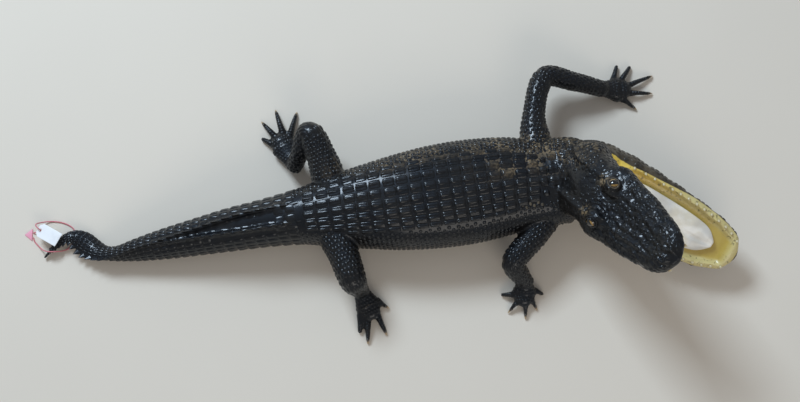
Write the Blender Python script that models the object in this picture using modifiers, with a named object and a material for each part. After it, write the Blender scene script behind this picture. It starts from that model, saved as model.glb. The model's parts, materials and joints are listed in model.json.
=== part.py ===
"""A small alligator taxidermy mount: head turned and raised with the mouth open, tail tip curled,
and a strung paper tag round the tail.  Metres, +Z up, head towards +X, belly and feet on z = 0."""
import math

import bmesh
import bpy
import numpy as np
from mathutils import Matrix, Vector
from mathutils.bvhtree import BVHTree

MM = 0.001
GAP = 0.36                      # clear space left between neighbouring solids
VOXEL = 1.5                     # grain of the one-piece body before it is parted
BODY_TRIANGLES = 2650
SECTION_POINTS = 28             # points round a body section
LIMB_POINTS = 16
DIGIT_POINTS = 10

# --- the driving sizes of the animal (millimetres) ------------------------------------------------
MIDDLE = (4.5, 8.3)             # taken off at the end, so that the animal stands over the origin
EYE_RADIUS = 8.2
CLAW_LENGTH = 11.0

# spine of neck, trunk and tail: place, half width, height over and under it, squareness, lean
#        x     y    z   half    up  down  power lean
SPINE = [
    (256,   24,  64,  42,  32,  34, 2.2,    6),
    (230,   27,  59,  53,  35,  45, 2.3,    4),
    (196,   24,  52,  54,  37,  50, 2.3,    2),
    (152,   21,  48,  61,  41,  50, 2.3,    0),
    (105,   14,  46,  65,  44,  50, 2.3,    0),
    (60,     7,  46,  64,  45,  50, 2.3,    0),
    (15,     0,  45,  59,  44,  49, 2.3,    0),
    (-30,   -6,  43,  51,  42,  46, 2.3,    0),
    (-66,  -11,  41,  44,  39,  43, 2.2,    0),
    (-103, -16,  37,  35,  36,  39, 2.2,    0),
    (-145, -23,  33,  30,  33,  35, 2.1,    0),
    (-190, -31,  29,  27,  29,  30, 2.1,    0),
    (-235, -40,  24,  23,  25,  25, 2.1,    0),
    (-275, -48,  20,  19,  21,  21, 2.1,    0),
    (-310, -55,  17,  14,  17,  18, 2.1,   -4),
    (-336, -59,  13,   9,  13,  14, 2.0,  -25),
    (-352, -57,  11,   7,  12,  11, 2.0,  -52),
    (-366, -50,   9,   6,  14,  12, 2.0,  -74),
    (-377, -43,   8,   6,  14,  13, 2.0,  -78),
    (-387, -38,   9,   5,  11,  11, 2.0,  -76),
    (-396, -37,   9,   5,   8,   8, 2.0,  -72),
    (-406, -41,   8,   4,   6,   6, 2.0,  -60),
    (-414, -48,   6,   4,   5,   5, 2.0,  -45),
    (-422, -56,   5,   3,   4,   4, 2.0,  -30),
    (-429, -64,   4,   2,   3,   3, 2.0,  -20),
]

# head frames: both jaws open from one hinge line that leans with the head
HINGE = Vector((249, 24, 73))
LOWER_TIP = Vector((436, -72, 47))
UPPER_TIP = Vector((330, -95, 205))

#          x   half   top  under power
CRANIUM = [
    (-34,  30,   26,   -2, 2.2),
    (-14,  43,   36,   -8, 2.4),
    (8,    50,   40,  -10, 2.6),
    (30,   51,   41,   -9, 2.7),
    (52,   48,   38,   -4, 2.7),
    (72,   45,   32,   -1, 2.6),
    (92,   43,   28,    0, 2.5),
    (114,  40,   25,    0, 2.5),
    (136,  37,   23,    0, 2.5),
    (158,  33,   22,   -1, 2.5),
    (176,  27,   21,   -1, 2.4),
    (188,  19,   18,    0, 2.2),
    (195,  11,   13,    2, 2.0),
]
MANDIBLE = [
    (-32,  36,   -2,  -24, 2.3),
    (-8,   46,    4,  -36, 2.4),
    (20,   49,    5,  -38, 2.5),
    (52,   49,    4,  -34, 2.6),
    (88,   46,    2,  -29, 2.6),
    (124,  42,    0,  -25, 2.6),
    (156,  38,    0,  -21, 2.6),
    (181,  32,    0,  -19, 2.5),
    (198,  24,    0,  -16, 2.3),
    (208,  13,   -2,  -12, 2.0),
]
#   floor of the mouth: x, half width, depth under the rim
MOUTH_FLOOR = [(26, 26, 7), (50, 37, 11), (92, 36, 12), (134, 32, 11), (166, 26, 10), (188, 18, 8)]
TONGUE = [(34, 21, 4), (60, 32, 7), (97, 31, 8), (136, 27, 7), (160, 21, 6), (174, 12, 4)]

# limbs, root to wrist or ankle: place and radius
LIMBS = {
    "arm_left": dict(
        fold=24, root=0.42,
        joints=[(189, 66, 50), (187, 110, 51), (201, 159, 48), (240, 158, 34), (278, 153, 18)],
        radii=[24, 14.5, 14, 12.5, 11],
        names=("upper_arm_left", "forearm_left", "hand_left")),
    "arm_right": dict(
        fold=24, root=1.55,
        joints=[(200, -14, 49), (184, -42, 49), (160, -72, 44), (167, -85, 30), (176, -94, 17)],
        radii=[22, 17, 15, 13, 11],
        names=("upper_arm_right", "forearm_right", "hand_right")),
    "leg_left": dict(
        fold=46, root=0.66,
        joints=[(-64, 18, 44), (-77, 56, 52), (-92, 85, 57), (-105, 65, 38), (-113, 53, 18)],
        radii=[24, 19, 16, 12, 11],
        names=("thigh_left", "shank_left", "foot_left")),
    "leg_right": dict(
        fold=32, root=1.10,
        joints=[(-62, -30, 44), (-50, -62, 54), (-38, -95, 56), (-33, -102, 36), (-29, -106, 17)],
        radii=[28, 20, 17.5, 13.5, 11],
        names=("thigh_right", "shank_right", "foot_right")),
}
# feet: palm, then base and tip of each digit on the floor; the first three digits bear claws
FEET = {
    "hand_left": dict(wrist=(278, 153, 18), palm=(299, 154, 9), width=17, clawed=3, digit=4.8,
                      digits=[((305, 143), (326, 129)), ((313, 150), (347, 151)),
                              ((312, 159), (348, 175)), ((304, 165), (318, 186)),
                              ((294, 164), (301, 187))]),
    "hand_right": dict(wrist=(176, -94, 17), palm=(175, -108, 9), width=16, clawed=3, digit=4.8,
                       digits=[((183, -112), (192, -130)), ((177, -119), (177, -141)),
                               ((168, -117), (155, -133)), ((164, -110), (148, -110)),
                               ((185, -103), (199, -109))]),
    "foot_left": dict(wrist=(-113, 53, 18), palm=(-128, 78, 9), width=17, clawed=3, digit=5.4,
                      digits=[((-121, 93), (-113, 127)), ((-130, 96), (-141, 130)),
                              ((-138, 90), (-159, 114)), ((-139, 80), (-156, 90))]),
    "foot_right": dict(wrist=(-29, -106, 17), palm=(-20, -124, 9), width=17, clawed=3, digit=5.4,
                       digits=[((-9, -118), (7, -127)), ((-10, -132), (4, -161)),
                               ((-20, -137), (-20, -172)), ((-29, -134), (-30, -156))]),
}

# across the spine: where the long body is parted (x on the spine)
SPINE_CUTS = [74, -88, -176, -262, -348]
NECK_CUT = 207
HEAD_CUT = (-18, 0, 0)          # on the lower jaw's frame
ANCHORS = {
    "neck": (216, 40, 62), "trunk_front": (130, 15, 48), "trunk_rear": (0, -3, 45),
    "tail_base": (-130, -24, 34), "tail_middle": (-220, -40, 26), "tail_rear": (-300, -56, 18),
    "tail_tip": (-387, -44, 9),
}

# the tag: a small plain card on a thin string that goes round the tail to a flat end tab
CARD_SIZE = (32.0, 18.0, 0.7)
CARD_CENTRE = (-422, -35, 15)
CARD_TURN = -29.0
CARD_LEAN = -8.0
CARD_HOLE = 12.2                # from the middle of the card to the string's hole
CARD_HOLE_RADIUS = 1.7
TAB = [(-446, -25.5), (-446, -41.5), (-456, -33.5)]
TAB_THICK = 1.8
STRING_DIAMETER = 1.6
STRING_STEPS = 2
STRING_ROUTE = [
    (-444.8, -37, 0.9), (-443, -42, 0.9), (-438, -47.5, 1.4), (-431, -53, 6.4), (-424, -56, 11.6),
    (-416, -56.5, 12.4), (-409, -55.5, 8), (-402, -52.5, 1.6), (-395, -47, 0.95),
    (-391.5, -38, 0.95), (-393, -28, 0.95), (-400, -21.5, 1), (-411, -17.5, 1), (-423, -16.5, 1.2),
    (-433, -18, 4.5), (-438.5, -21, 11.5), (-437.5, -24.5, 16.6), (-434, -28, 17),
    (-432.6, -29.1, 13.3), (-434.5, -29.8, 9), (-439.5, -30.4, 4.5), (-445.4, -31, 0.9),
]


# --- making shapes ---------------------------------------------------------------------------------
def clear_scene():
    for found in list(bpy.data.objects):
        bpy.data.objects.remove(found, do_unlink=True)
    for collection in list(bpy.data.collections):
        bpy.data.collections.remove(collection)


def make_collection(name):
    collection = bpy.data.collections.new(name)
    bpy.context.scene.collection.children.link(collection)
    return collection


def make_object(name, verts, faces, collection):
    """A mesh object from points in millimetres."""
    mesh = bpy.data.meshes.new(name)
    mesh.from_pydata([tuple(MM * c for c in v) for v in verts], [], faces)
    made = bpy.data.objects.new(name, mesh)
    collection.objects.link(made)
    bm = bmesh.new()
    bm.from_mesh(mesh)
    bmesh.ops.recalc_face_normals(bm, faces=bm.faces)
    bm.to_mesh(mesh)
    bm.free()
    if collection.name == "cutters":
        made.display_type = "WIRE"
        made.hide_render = True
    return made


def smooth_stations(stations, steps):
    """More stations on a curve through the given ones (Catmull-Rom on every value)."""
    rows = np.array(stations, float)
    padded = np.vstack([2 * rows[0] - rows[1], rows, 2 * rows[-1] - rows[-2]])
    out = []
    for i in range(1, len(padded) - 2):
        a, b, c, d = padded[i - 1], padded[i], padded[i + 1], padded[i + 2]
        for k in range(steps):
            t = k / steps
            out.append(0.5 * (2 * b + (c - a) * t + (2 * a - 5 * b + 4 * c - d) * t * t
                              + (3 * b - a - 3 * c + d) * t ** 3))
    out.append(rows[-1])
    return np.array(out)


def section(half, up, down, power, count):
    """Points of a squarish oval, taller or shallower over its middle than under it."""
    points = []
    for k in range(count):
        turn = 2 * math.pi * k / count
        c, s = math.cos(turn), math.sin(turn)
        y = half * math.copysign(abs(c) ** (2 / power), c)
        z = (up if s > 0 else down) * math.copysign(abs(s) ** (2 / power), s)
        points.append((y, z))
    return points


def loft(name, rings, collection):
    """Skins a row of rings of equal count and closes both ends with a fan."""
    count = len(rings[0])
    verts = [p for ring in rings for p in ring]
    faces = []
    for r in range(len(rings) - 1):
        for k in range(count):
            a, b = r * count + k, r * count + (k + 1) % count
            faces.append((a, b, b + count, a + count))
    for ring in (0, len(rings) - 1):
        centre = np.mean(rings[ring], axis=0)
        verts.append(centre)
        hub = len(verts) - 1
        faces += [(hub, ring * count + k, ring * count + (k + 1) % count) for k in range(count)]
    return make_object(name, verts, faces, collection)


def spine_rings(stations, count, steps):
    """Rings along a path of (x, y, z, half, up, down, power, lean)."""
    rows = smooth_stations(stations, steps)
    places = rows[:, :3]
    ways = np.gradient(places, axis=0)
    rings = []
    for row, place, way in zip(rows, places, ways):
        ahead = Vector(way).normalized()
        side = Vector((0, 0, 1)).cross(ahead).normalized()
        up = ahead.cross(side)
        turn = Matrix.Rotation(math.radians(row[7]), 3, ahead)
        side, up = turn @ side, turn @ up
        rings.append([Vector(place) + side * y + up * z
                      for y, z in section(row[3], row[4], row[5], row[6], count)])
    return rings


def tube(name, places, radii, collection, count=LIMB_POINTS, flat=1.0, steps=4, nose=True):
    """A round-ended limb through the given places; flat squeezes it from above."""
    rows = smooth_stations([(*p, r) for p, r in zip(places, radii)], steps)
    points = [Vector(row[:3]) for row in rows]
    sizes = list(rows[:, 3])
    if nose:
        lead = (points[-1] - points[-2]).normalized()
        base, size = points[-1], sizes[-1]
        for step in (0.55, 0.85, 0.98):
            points.append(base + lead * size * step)
            sizes.append(size * math.sqrt(1 - step * step))
    ways = np.gradient(np.array([tuple(p) for p in points]), axis=0)
    up = Vector((0, 0, 1))
    rings = []
    for p, r, way in zip(points, sizes, ways):
        ahead = Vector(way).normalized()
        if abs(ahead.dot(up)) > 0.97:
            up = Vector((1, 0, 0)) if abs(ahead.x) < 0.9 else Vector((0, 1, 0))
        side = up.cross(ahead).normalized()
        over = ahead.cross(side)
        up = over
        rings.append([p + side * y + over * z for y, z in section(r, r * flat, r * flat, 2, count)])
    return loft(name, rings, collection)


class Frame:
    """A head frame at the hinge: x along the jaw, y to the animal's left, z up from the teeth."""

    def __init__(self, origin, tip, left):
        self.origin = origin
        self.x = (tip - origin).normalized()
        self.y = (left - self.x * left.dot(self.x)).normalized()
        self.z = self.x.cross(self.y)

    def at(self, x, y, z):
        return self.origin + self.x * x + self.y * y + self.z * z


def head_frames():
    lower = (LOWER_TIP - HINGE).normalized()
    upper = (UPPER_TIP - HINGE).normalized()
    left = -(lower.cross(upper)).normalized()
    return Frame(HINGE, LOWER_TIP, left), Frame(HINGE, UPPER_TIP, left)


def jaw_loft(name, frame, stations, collection, count=SECTION_POINTS, steps=3):
    rings = []
    for x, half, top, under, power in smooth_stations(stations, steps):
        middle, tall = (top + under) / 2, (top - under) / 2
        rings.append([frame.at(x, y, middle + z) for y, z in section(half, tall, tall, power, count)])
    return loft(name, rings, collection)


def ball(name, centre, radii, axes, collection, rings=12, count=20):
    """An egg with its own three axes; axes are unit vectors."""
    stack = []
    for i in range(1, rings):
        t = math.pi * i / rings
        stack.append([centre + axes[0] * (-radii[0] * math.cos(t))
                      + axes[1] * (radii[1] * math.sin(t) * math.cos(2 * math.pi * k / count))
                      + axes[2] * (radii[2] * math.sin(t) * math.sin(2 * math.pi * k / count))
                      for k in range(count)])
    return loft(name, stack, collection)


# --- changing shapes -------------------------------------------------------------------------------
def apply(made, modifier):
    bpy.context.view_layer.objects.active = made
    bpy.ops.object.modifier_apply(modifier=modifier.name)


def join(name, pieces):
    bm = bmesh.new()
    for piece in pieces:
        bm.from_mesh(piece.data)
    first = pieces[0]
    bm.to_mesh(first.data)
    bm.free()
    for piece in pieces[1:]:
        bpy.data.objects.remove(piece, do_unlink=True)
    first.name = name
    return first


def boolean(made, other, operation="DIFFERENCE"):
    modifier = made.modifiers.new("cut", "BOOLEAN")
    modifier.operation = operation
    modifier.solver = "EXACT"
    modifier.object = other
    apply(made, modifier)


def plate(name, centre, normal, size, collection, thick=GAP, along=None, tall=None):
    """A thin square cutter across a limb."""
    normal = normal.normalized()
    hint = along if along is not None else Vector((0, 0, 1))
    if abs(normal.dot(hint.normalized())) > 0.95:
        hint = Vector((1, 0, 0))
    side = hint.cross(normal).normalized()
    up = normal.cross(side)
    verts = []
    for i in (-1, 1):
        for j in (-1, 1):
            for k in (-1, 1):
                verts.append(centre + normal * (i * thick / 2) + side * (j * size)
                             + up * (k * (tall or size)))
    faces = [(0, 1, 3, 2), (4, 6, 7, 5), (0, 4, 5, 1), (2, 3, 7, 6), (0, 2, 6, 4), (1, 5, 7, 3)]
    return make_object(name, verts, faces, collection)


def triangles(made):
    made.data.calc_loop_triangles()
    return len(made.data.loop_triangles)


def tidy_mesh(made, merge=0.00002):
    """Merges stray doubles and splits every face into triangles."""
    bm = bmesh.new()
    bm.from_mesh(made.data)
    bmesh.ops.remove_doubles(bm, verts=bm.verts, dist=merge)
    bmesh.ops.dissolve_degenerate(bm, edges=bm.edges, dist=merge)
    bmesh.ops.triangulate(bm, faces=bm.faces)
    bmesh.ops.recalc_face_normals(bm, faces=bm.faces)
    bm.to_mesh(made.data)
    bm.free()


def shade(made, angle=40):
    for found in bpy.context.view_layer.objects:
        found.select_set(False)
    made.select_set(True)
    bpy.context.view_layer.objects.active = made
    bpy.ops.object.shade_smooth_by_angle(angle=math.radians(angle))


def paint(made, colour, roughness):
    material = bpy.data.materials.new(made.name)
    material.use_nodes = True
    shader = material.node_tree.nodes["Principled BSDF"]
    shader.inputs["Base Color"].default_value = (*colour, 1)
    shader.inputs["Roughness"].default_value = roughness
    shader.inputs["Metallic"].default_value = 0.0
    made.data.materials.clear()
    made.data.materials.append(material)


def volume(made):
    bm = bmesh.new()
    bm.from_mesh(made.data)
    total = bm.calc_volume()
    bm.free()
    return total


def inside(tree, point):
    """True where most of three lines from the point cross the surface an odd number of times."""
    votes = 0
    for way in (Vector((0.31, 0.17, 0.93)), Vector((-0.83, 0.41, 0.37)), Vector((0.22, -0.91, 0.35))):
        way = way.normalized()
        start, hits = point.copy(), 0
        while True:
            place, _, _, distance = tree.ray_cast(start, way)
            if place is None:
                break
            hits += 1
            start = place + way * 1e-6
        votes += hits % 2
    return votes >= 2


# --- the animal in one piece -----------------------------------------------------------------------
def limb_pieces(body):
    for name, limb in LIMBS.items():
        yield tube(name, limb["joints"], limb["radii"], body, nose=True)


def foot_pieces(name, foot, body):
    """Palm and digits; clawed digits stop short of the tip by the claw."""
    wrist, palm = Vector(foot["wrist"]), Vector(foot["palm"])
    lead = (palm - wrist).normalized()
    places = [wrist, wrist.lerp(palm, 0.5), palm, palm + Vector((lead.x, lead.y, 0)) * 6]
    yield tube(name + "_palm", places, [10.5, 13, foot["width"], foot["width"] - 3], body, flat=0.62)
    for i, (base, tip) in enumerate(foot["digits"]):
        bare = CLAW_LENGTH - 1.5 if i < foot["clawed"] else 0.5
        start, knuckle = Vector((*base, 7.5)), Vector((*tip, 3.4))
        way = (knuckle - start).normalized()
        end = knuckle - way * bare
        heart = palm.lerp(start, 0.2)
        heart.z = 8
        middle = start.lerp(end, 0.5) + Vector((0, 0, 2.0))
        size = foot["digit"]
        yield tube(f"{name}_{i}", [heart, start, middle, end], [size, size, size * 0.82, size * 0.66],
                   body, count=DIGIT_POINTS, flat=0.95)


def head_pieces(lower, upper, body):
    yield jaw_loft("cranium", upper, CRANIUM, body)
    yield jaw_loft("mandible", lower, MANDIBLE, body)
    middle = (lower.x + upper.x).normalized()
    over = middle.cross(lower.y)
    yield ball("jowl", HINGE - middle * 8, (34, 47, 38), (middle, lower.y, over), body)
    for side in (1, -1):
        brow = upper.at(74, side * 20, 31)
        yield ball("brow", brow, (16, 11, 10), (upper.x, upper.y, upper.z), body)
        yield ball("nostril", upper.at(181, side * 7, 17), (8, 6, 5.5), (upper.x, upper.y, upper.z), body)
        yield ball("jaw_muscle", lower.at(2, side * 33, -12), (28, 15, 20), (lower.x, lower.y, lower.z),
                   body)


def crest_pieces(body):
    """The tail's upright crest: two low rows that run together into one."""
    rows = smooth_stations(SPINE, 3)
    places = rows[:, :3]
    ways = np.gradient(places, axis=0)
    for side in (1, -1):
        line, sizes = [], []
        for row, place, way in zip(rows, places, ways):
            if row[0] > -92 or row[0] < -424:
                continue
            ahead = Vector(way).normalized()
            across = Vector((0, 0, 1)).cross(ahead).normalized()
            up = ahead.cross(across)
            turn = Matrix.Rotation(math.radians(row[7]), 3, ahead)
            apart = max(0.0, min(1.0, (row[0] + 285) / 120)) * 11
            rise = min(1.0, (-92 - row[0]) / 60)
            size = max(1.7, 3.2 * row[4] / 30 + 0.9)
            line.append(Vector(place) + turn @ (across * side * apart
                                                + up * (row[4] + (rise * 1.6 - 1) * size)))
            sizes.append(size)
        yield tube("crest", line, sizes, body, count=8, steps=1)


def whole_body(body, lower, upper):
    pieces = [loft("trunk", spine_rings(SPINE, SECTION_POINTS, 4), body)]
    pieces += list(head_pieces(lower, upper, body))
    pieces += list(limb_pieces(body))
    for name, foot in FEET.items():
        pieces += list(foot_pieces(name, foot, body))
    pieces += list(crest_pieces(body))
    whole = join("whole", pieces)
    remesh = whole.modifiers.new("grain", "REMESH")
    remesh.mode = "VOXEL"
    remesh.voxel_size = VOXEL * MM
    apply(whole, remesh)
    smooth = whole.modifiers.new("soften", "SMOOTH")
    smooth.factor = 0.5
    smooth.iterations = 4
    apply(whole, smooth)
    fewer = whole.modifiers.new("fewer", "DECIMATE")
    fewer.ratio = BODY_TRIANGLES / triangles(whole)
    apply(whole, fewer)
    tidy_mesh(whole)
    return whole


def rest_on_floor(whole, cutters):
    """Takes away what is under the floor, which leaves small flats at one level."""
    ground = plate("ground", Vector((0, 0, -30)), Vector((0, 0, 1)), 700, cutters, thick=60.0)
    boolean(whole, ground)


def spine_place(x):
    rows = smooth_stations(SPINE, 12)
    index = int(np.argmin(abs(rows[:, 0] - x)))
    way = rows[max(index - 1, 0), :3] - rows[min(index + 1, len(rows) - 1), :3]
    return Vector(rows[index, :3]), Vector(way).normalized()


def vertical_blade(name, place, across, right, left, cutters, tall=100):
    """An upright thin cutter from `right` to `left` of a place, seen from behind it."""
    centre = place + across * ((left - right) / 2)
    return plate(name, centre, across.cross(Vector((0, 0, 1))), (left + right) / 2, cutters,
                 tall=tall)


def part_the_body(whole, lower, cutters):
    """Thin cuts behind the head, along the spine and at every limb joint."""
    blades = []
    head_way = Vector((lower.x.x, lower.x.y * 0.5, 0)).normalized()
    head_across = Vector((0, 0, 1)).cross(head_way)
    head_place = lower.at(*HEAD_CUT)
    blades.append(vertical_blade("cut_head", head_place, head_across, 78, 80, cutters))
    for x in [NECK_CUT] + SPINE_CUTS:
        place, way = spine_place(x)
        way.z = 0
        across = Vector((0, 0, 1)).cross(way.normalized())
        reach = 66 if x > 0 else (56 if x > -300 else 22)
        blades.append(vertical_blade(f"cut_{x}", place, across, reach, reach, cutters))
    for name, limb in LIMBS.items():
        arm = "arm" in name
        p = [Vector(j) for j in limb["joints"]]
        root = p[0].lerp(p[1], limb["root"])
        blades.append(plate(name + "_root", root, p[2] - p[0], 24 if arm else 31, cutters))
        bend = (p[2] - p[1]).normalized() + (p[3] - p[2]).normalized()
        blades.append(plate(name + "_bend", p[2], bend, limb["fold"], cutters))
        palm = Vector(FEET[limb["names"][2]]["palm"])
        foot_way = (p[4] - p[3]).normalized() + (palm - p[4]).normalized()
        blades.append(plate(name + "_end", p[4], foot_way, 17, cutters))
    for blade in blades:
        boolean(whole, blade)


def separate(made):
    """Splits an object into its loose lengths and returns them all."""
    before = set(bpy.context.scene.objects)
    for found in bpy.context.view_layer.objects:
        found.select_set(False)
    made.select_set(True)
    bpy.context.view_layer.objects.active = made
    bpy.ops.object.mode_set(mode="EDIT")
    bpy.ops.mesh.separate(type="LOOSE")
    bpy.ops.object.mode_set(mode="OBJECT")
    return [made] + [found for found in bpy.context.scene.objects if found not in before]


def drop_shavings(made):
    """Keeps the largest body of an object and takes away any crumb that a cut left loose."""
    bm = bmesh.new()
    bm.from_mesh(made.data)
    islands, seen = [], set()
    for seed in bm.verts:
        if seed in seen:
            continue
        island, edge = {seed}, [seed]
        while edge:
            for link in edge.pop().link_edges:
                for other in link.verts:
                    if other not in island:
                        island.add(other)
                        edge.append(other)
        seen |= island
        islands.append(island)
    islands.sort(key=len)
    for island in islands[:-1]:
        print("shaving dropped from", made.name, len(island), "points")
        bmesh.ops.delete(bm, geom=list(island), context="VERTS")
    bm.to_mesh(made.data)
    bm.free()


def name_pieces(pieces, anchors):
    """Names each piece by the one anchor that lies in it and drops shavings."""
    named = {}
    for piece in pieces:
        tree = BVHTree.FromObject(piece, bpy.context.evaluated_depsgraph_get())
        hits = [n for n, place in anchors.items() if inside(tree, place * MM)]
        size = abs(volume(piece)) * 1e9
        if len(hits) == 1:
            named[hits[0]] = piece
        elif size < 30:
            bpy.data.objects.remove(piece, do_unlink=True)
        else:
            box = [[round(c * 1000) for c in piece.bound_box[k]] for k in (0, 6)]
            print("unclear length", hits, round(size), box)
    for name in anchors:
        if name not in named:
            print("no solid for", name)
    for name, piece in named.items():
        piece.name = name
        piece.data.name = name
        tidy_mesh(piece)
    return named


def limb_anchors():
    anchors = {}
    for limb in LIMBS.values():
        p = [Vector(j) for j in limb["joints"]]
        anchors[limb["names"][0]] = p[1].lerp(p[2], 0.6)
        anchors[limb["names"][1]] = p[3]
        anchors[limb["names"][2]] = Vector(FEET[limb["names"][2]]["palm"])
    return anchors


def part_the_jaws(head, lower, upper, cutters):
    """One plate from behind the hinge through the open mouth parts the lower jaw from the head."""
    behind = lower.at(-60, 0, -14)
    ahead = HINGE + (lower.x + upper.x).normalized() * 60
    way = ahead - behind
    blade = plate("cut_jaw", behind.lerp(ahead, 0.5), way.cross(lower.y), 95, cutters, along=way,
                  tall=way.length / 2)
    boolean(head, blade)
    return name_pieces(separate(head), {"head": upper.at(60, 0, 15), "lower_jaw": lower.at(40, 0, -20)})


# --- head fittings ---------------------------------------------------------------------------------
def mouth_trough(lower_jaw, frame, cutters):
    rings = []
    for x, half, deep in smooth_stations(MOUTH_FLOOR, 2):
        rings.append([frame.at(x, y, 4 + (z if z < 0 else 12)) if z < 0 else frame.at(x, y, 16 + z)
                      for y, z in section(half, 3, deep + 4, 2.8, 14)])
    boolean(lower_jaw, loft("trough", rings, cutters))


def make_tongue(frame, body):
    rings = []
    for x, half, tall in smooth_stations(TONGUE, 2):
        floor = np.interp(x, [m[0] for m in MOUTH_FLOOR], [m[2] for m in MOUTH_FLOOR])
        low = -floor + 1.3
        rings.append([frame.at(x, y * 0.8, low + tall / 2 + z)
                      for y, z in section(half, tall / 2, tall / 2, 2.3, 12)])
    return loft("tongue", rings, body)


def add_teeth(jaw, frame, stations, rows, down, cutters):
    """Short cones rooted in the rim of one jaw and joined to it."""
    xs = [s[0] for s in stations]
    halves = [s[1] for s in stations]
    point = -1 if down else 1
    tree = BVHTree.FromObject(jaw, bpy.context.evaluated_depsgraph_get())
    teeth = []
    for side in (1, -1):
        for i in range(rows):
            x = 42 + (max(xs) - 53) * (i / (rows - 1)) ** 0.9
            y = side * (float(np.interp(x, xs, halves)) - 5.5)
            rim, _, _, _ = tree.ray_cast(frame.at(x, y, point * 30) * MM, frame.z * -point)
            if rim is None:
                continue
            rim = rim / MM
            tall = 4.6 + 1.5 * math.sin(i * 1.9)
            way = (frame.z * point + frame.y * side * 0.12).normalized()
            teeth.append(tube("tooth", [rim - way * 1.6, rim + way * tall * 0.5, rim + way * tall],
                              [2.1, 1.5, 0.35], cutters, count=4, steps=1, nose=False))
    boolean(jaw, join("teeth", teeth), "UNION")


def make_eyes(head, frame, body, cutters):
    eyes = []
    for name, side in (("eye_left", 1), ("eye_right", -1)):
        centre = frame.at(75, side * 23.5, 33.5)
        axes = (frame.x, frame.y, frame.z)
        socket = ball(name + "_socket", centre, (EYE_RADIUS + GAP,) * 3, axes, cutters, 8, 12)
        boolean(head, socket)
        eyes.append(ball(name, centre, (EYE_RADIUS,) * 3, axes, body, 8, 12))
    return eyes


def make_claws(named, body, cutters):
    claws = []
    for name, foot in FEET.items():
        for i, (base, tip) in enumerate(foot["digits"][:foot["clawed"]]):
            start, end = Vector((*base, 7.5)), Vector((*tip, 3.4))
            way = (end - start).normalized()
            root = end - way * (CLAW_LENGTH - 3.0)
            point = Vector((*tip, 1.0))
            arch = root.lerp(point, 0.55) + Vector((0, 0, 1.1))
            size = foot["digit"] * 0.52
            claw_name = f"claw_{name}_{i + 1}"
            claws.append(tube(claw_name, [root, arch, point], [size, size * 0.72, 0.35], body,
                              count=6, steps=1, nose=False))
            pocket = tube("pocket", [root - way * GAP, arch, point + way],
                          [size + GAP, size * 0.72 + GAP, 0.35 + GAP], cutters, count=6, steps=1,
                          nose=False)
            boolean(named[name], pocket)
        drop_shavings(named[name])
    return claws


# --- the tag ---------------------------------------------------------------------------------------
def make_card(body, cutters):
    turn = Matrix.Rotation(math.radians(CARD_TURN), 3, "Z") @ Matrix.Rotation(
        math.radians(CARD_LEAN), 3, "Y")
    half = [s / 2 for s in CARD_SIZE]
    corners = [(-half[0] + 4, -half[1]), (half[0], -half[1]), (half[0], half[1]),
               (-half[0] + 4, half[1]), (-half[0], half[1] - 4), (-half[0], -half[1] + 4)]
    verts = [Vector(CARD_CENTRE) + turn @ Vector((x, y, z)) for z in (-half[2], half[2])
             for x, y in corners]
    faces = [tuple(range(5, -1, -1)), tuple(range(6, 12))]
    faces += [(k, (k + 1) % 6, (k + 1) % 6 + 6, k + 6) for k in range(6)]
    card = make_object("tag_card", verts, faces, body)
    hole = [Vector(CARD_CENTRE) + turn @ Vector((-CARD_HOLE, 0, z)) for z in (-4, 0, 4)]
    boolean(card, tube("hole", hole, [CARD_HOLE_RADIUS] * 3, cutters, count=16, steps=1, nose=False))
    return card


def make_tab(body):
    """A flat three-cornered end tab that lies on the floor."""
    verts = [(x, y, z) for z in (0.0, TAB_THICK) for x, y in TAB]
    faces = [(2, 1, 0), (3, 4, 5)] + [(k, (k + 1) % 3, (k + 1) % 3 + 3, k + 3) for k in range(3)]
    return make_object("tag_tab", verts, faces, body)


def make_string(body):
    """The string: from the tab, over the tail tip, under the tail, up and down through the card."""
    curve = bpy.data.curves.new("tag_string", "CURVE")
    curve.dimensions = "3D"
    curve.bevel_depth = STRING_DIAMETER / 2 * MM
    curve.bevel_resolution = 2
    curve.use_fill_caps = True
    spline = curve.splines.new("POLY")
    route = smooth_stations(STRING_ROUTE, STRING_STEPS)
    spline.points.add(len(route) - 1)
    for point, place in zip(spline.points, route):
        point.co = (*(place * MM), 1)
    print("string", len(route), "points", round(sum(np.linalg.norm(np.diff(route, axis=0), axis=1)), 1))
    made = bpy.data.objects.new("tag_string", curve)
    body.objects.link(made)
    return made


def main():
    clear_scene()
    body = make_collection("alligator_mount")
    cutters = make_collection("cutters")
    lower, upper = head_frames()
    whole = whole_body(body, lower, upper)
    rest_on_floor(whole, cutters)
    part_the_body(whole, lower, cutters)
    anchors = {name: Vector(place) for name, place in ANCHORS.items()}
    anchors["head"] = upper.at(60, 0, 15)
    named = name_pieces(separate(whole), {**anchors, **limb_anchors()})
    named.update(part_the_jaws(named.pop("head"), lower, upper, cutters))
    mouth_trough(named["lower_jaw"], lower, cutters)
    make_tongue(lower, body)
    make_eyes(named["head"], upper, body, cutters)
    add_teeth(named["lower_jaw"], lower, MANDIBLE, 14, False, cutters)
    add_teeth(named["head"], upper, CRANIUM, 15, True, cutters)
    make_claws(named, body, cutters)
    make_card(body, cutters)
    make_tab(body)
    paint(make_string(body), (0.66, 0.27, 0.33), 0.7)
    total = 0
    for made in body.objects:
        made.data.transform(Matrix.Translation((-MIDDLE[0] * MM, -MIDDLE[1] * MM, 0)))
        if made.type == "MESH":
            tidy_mesh(made)
            shade(made)
            paint(made, (0.03, 0.028, 0.024), 0.35)
            total += triangles(made)
            print(made.name, triangles(made), round(volume(made) * 1e6, 2))
    print("solids", len(body.objects), "triangles", total)


main()
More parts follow.
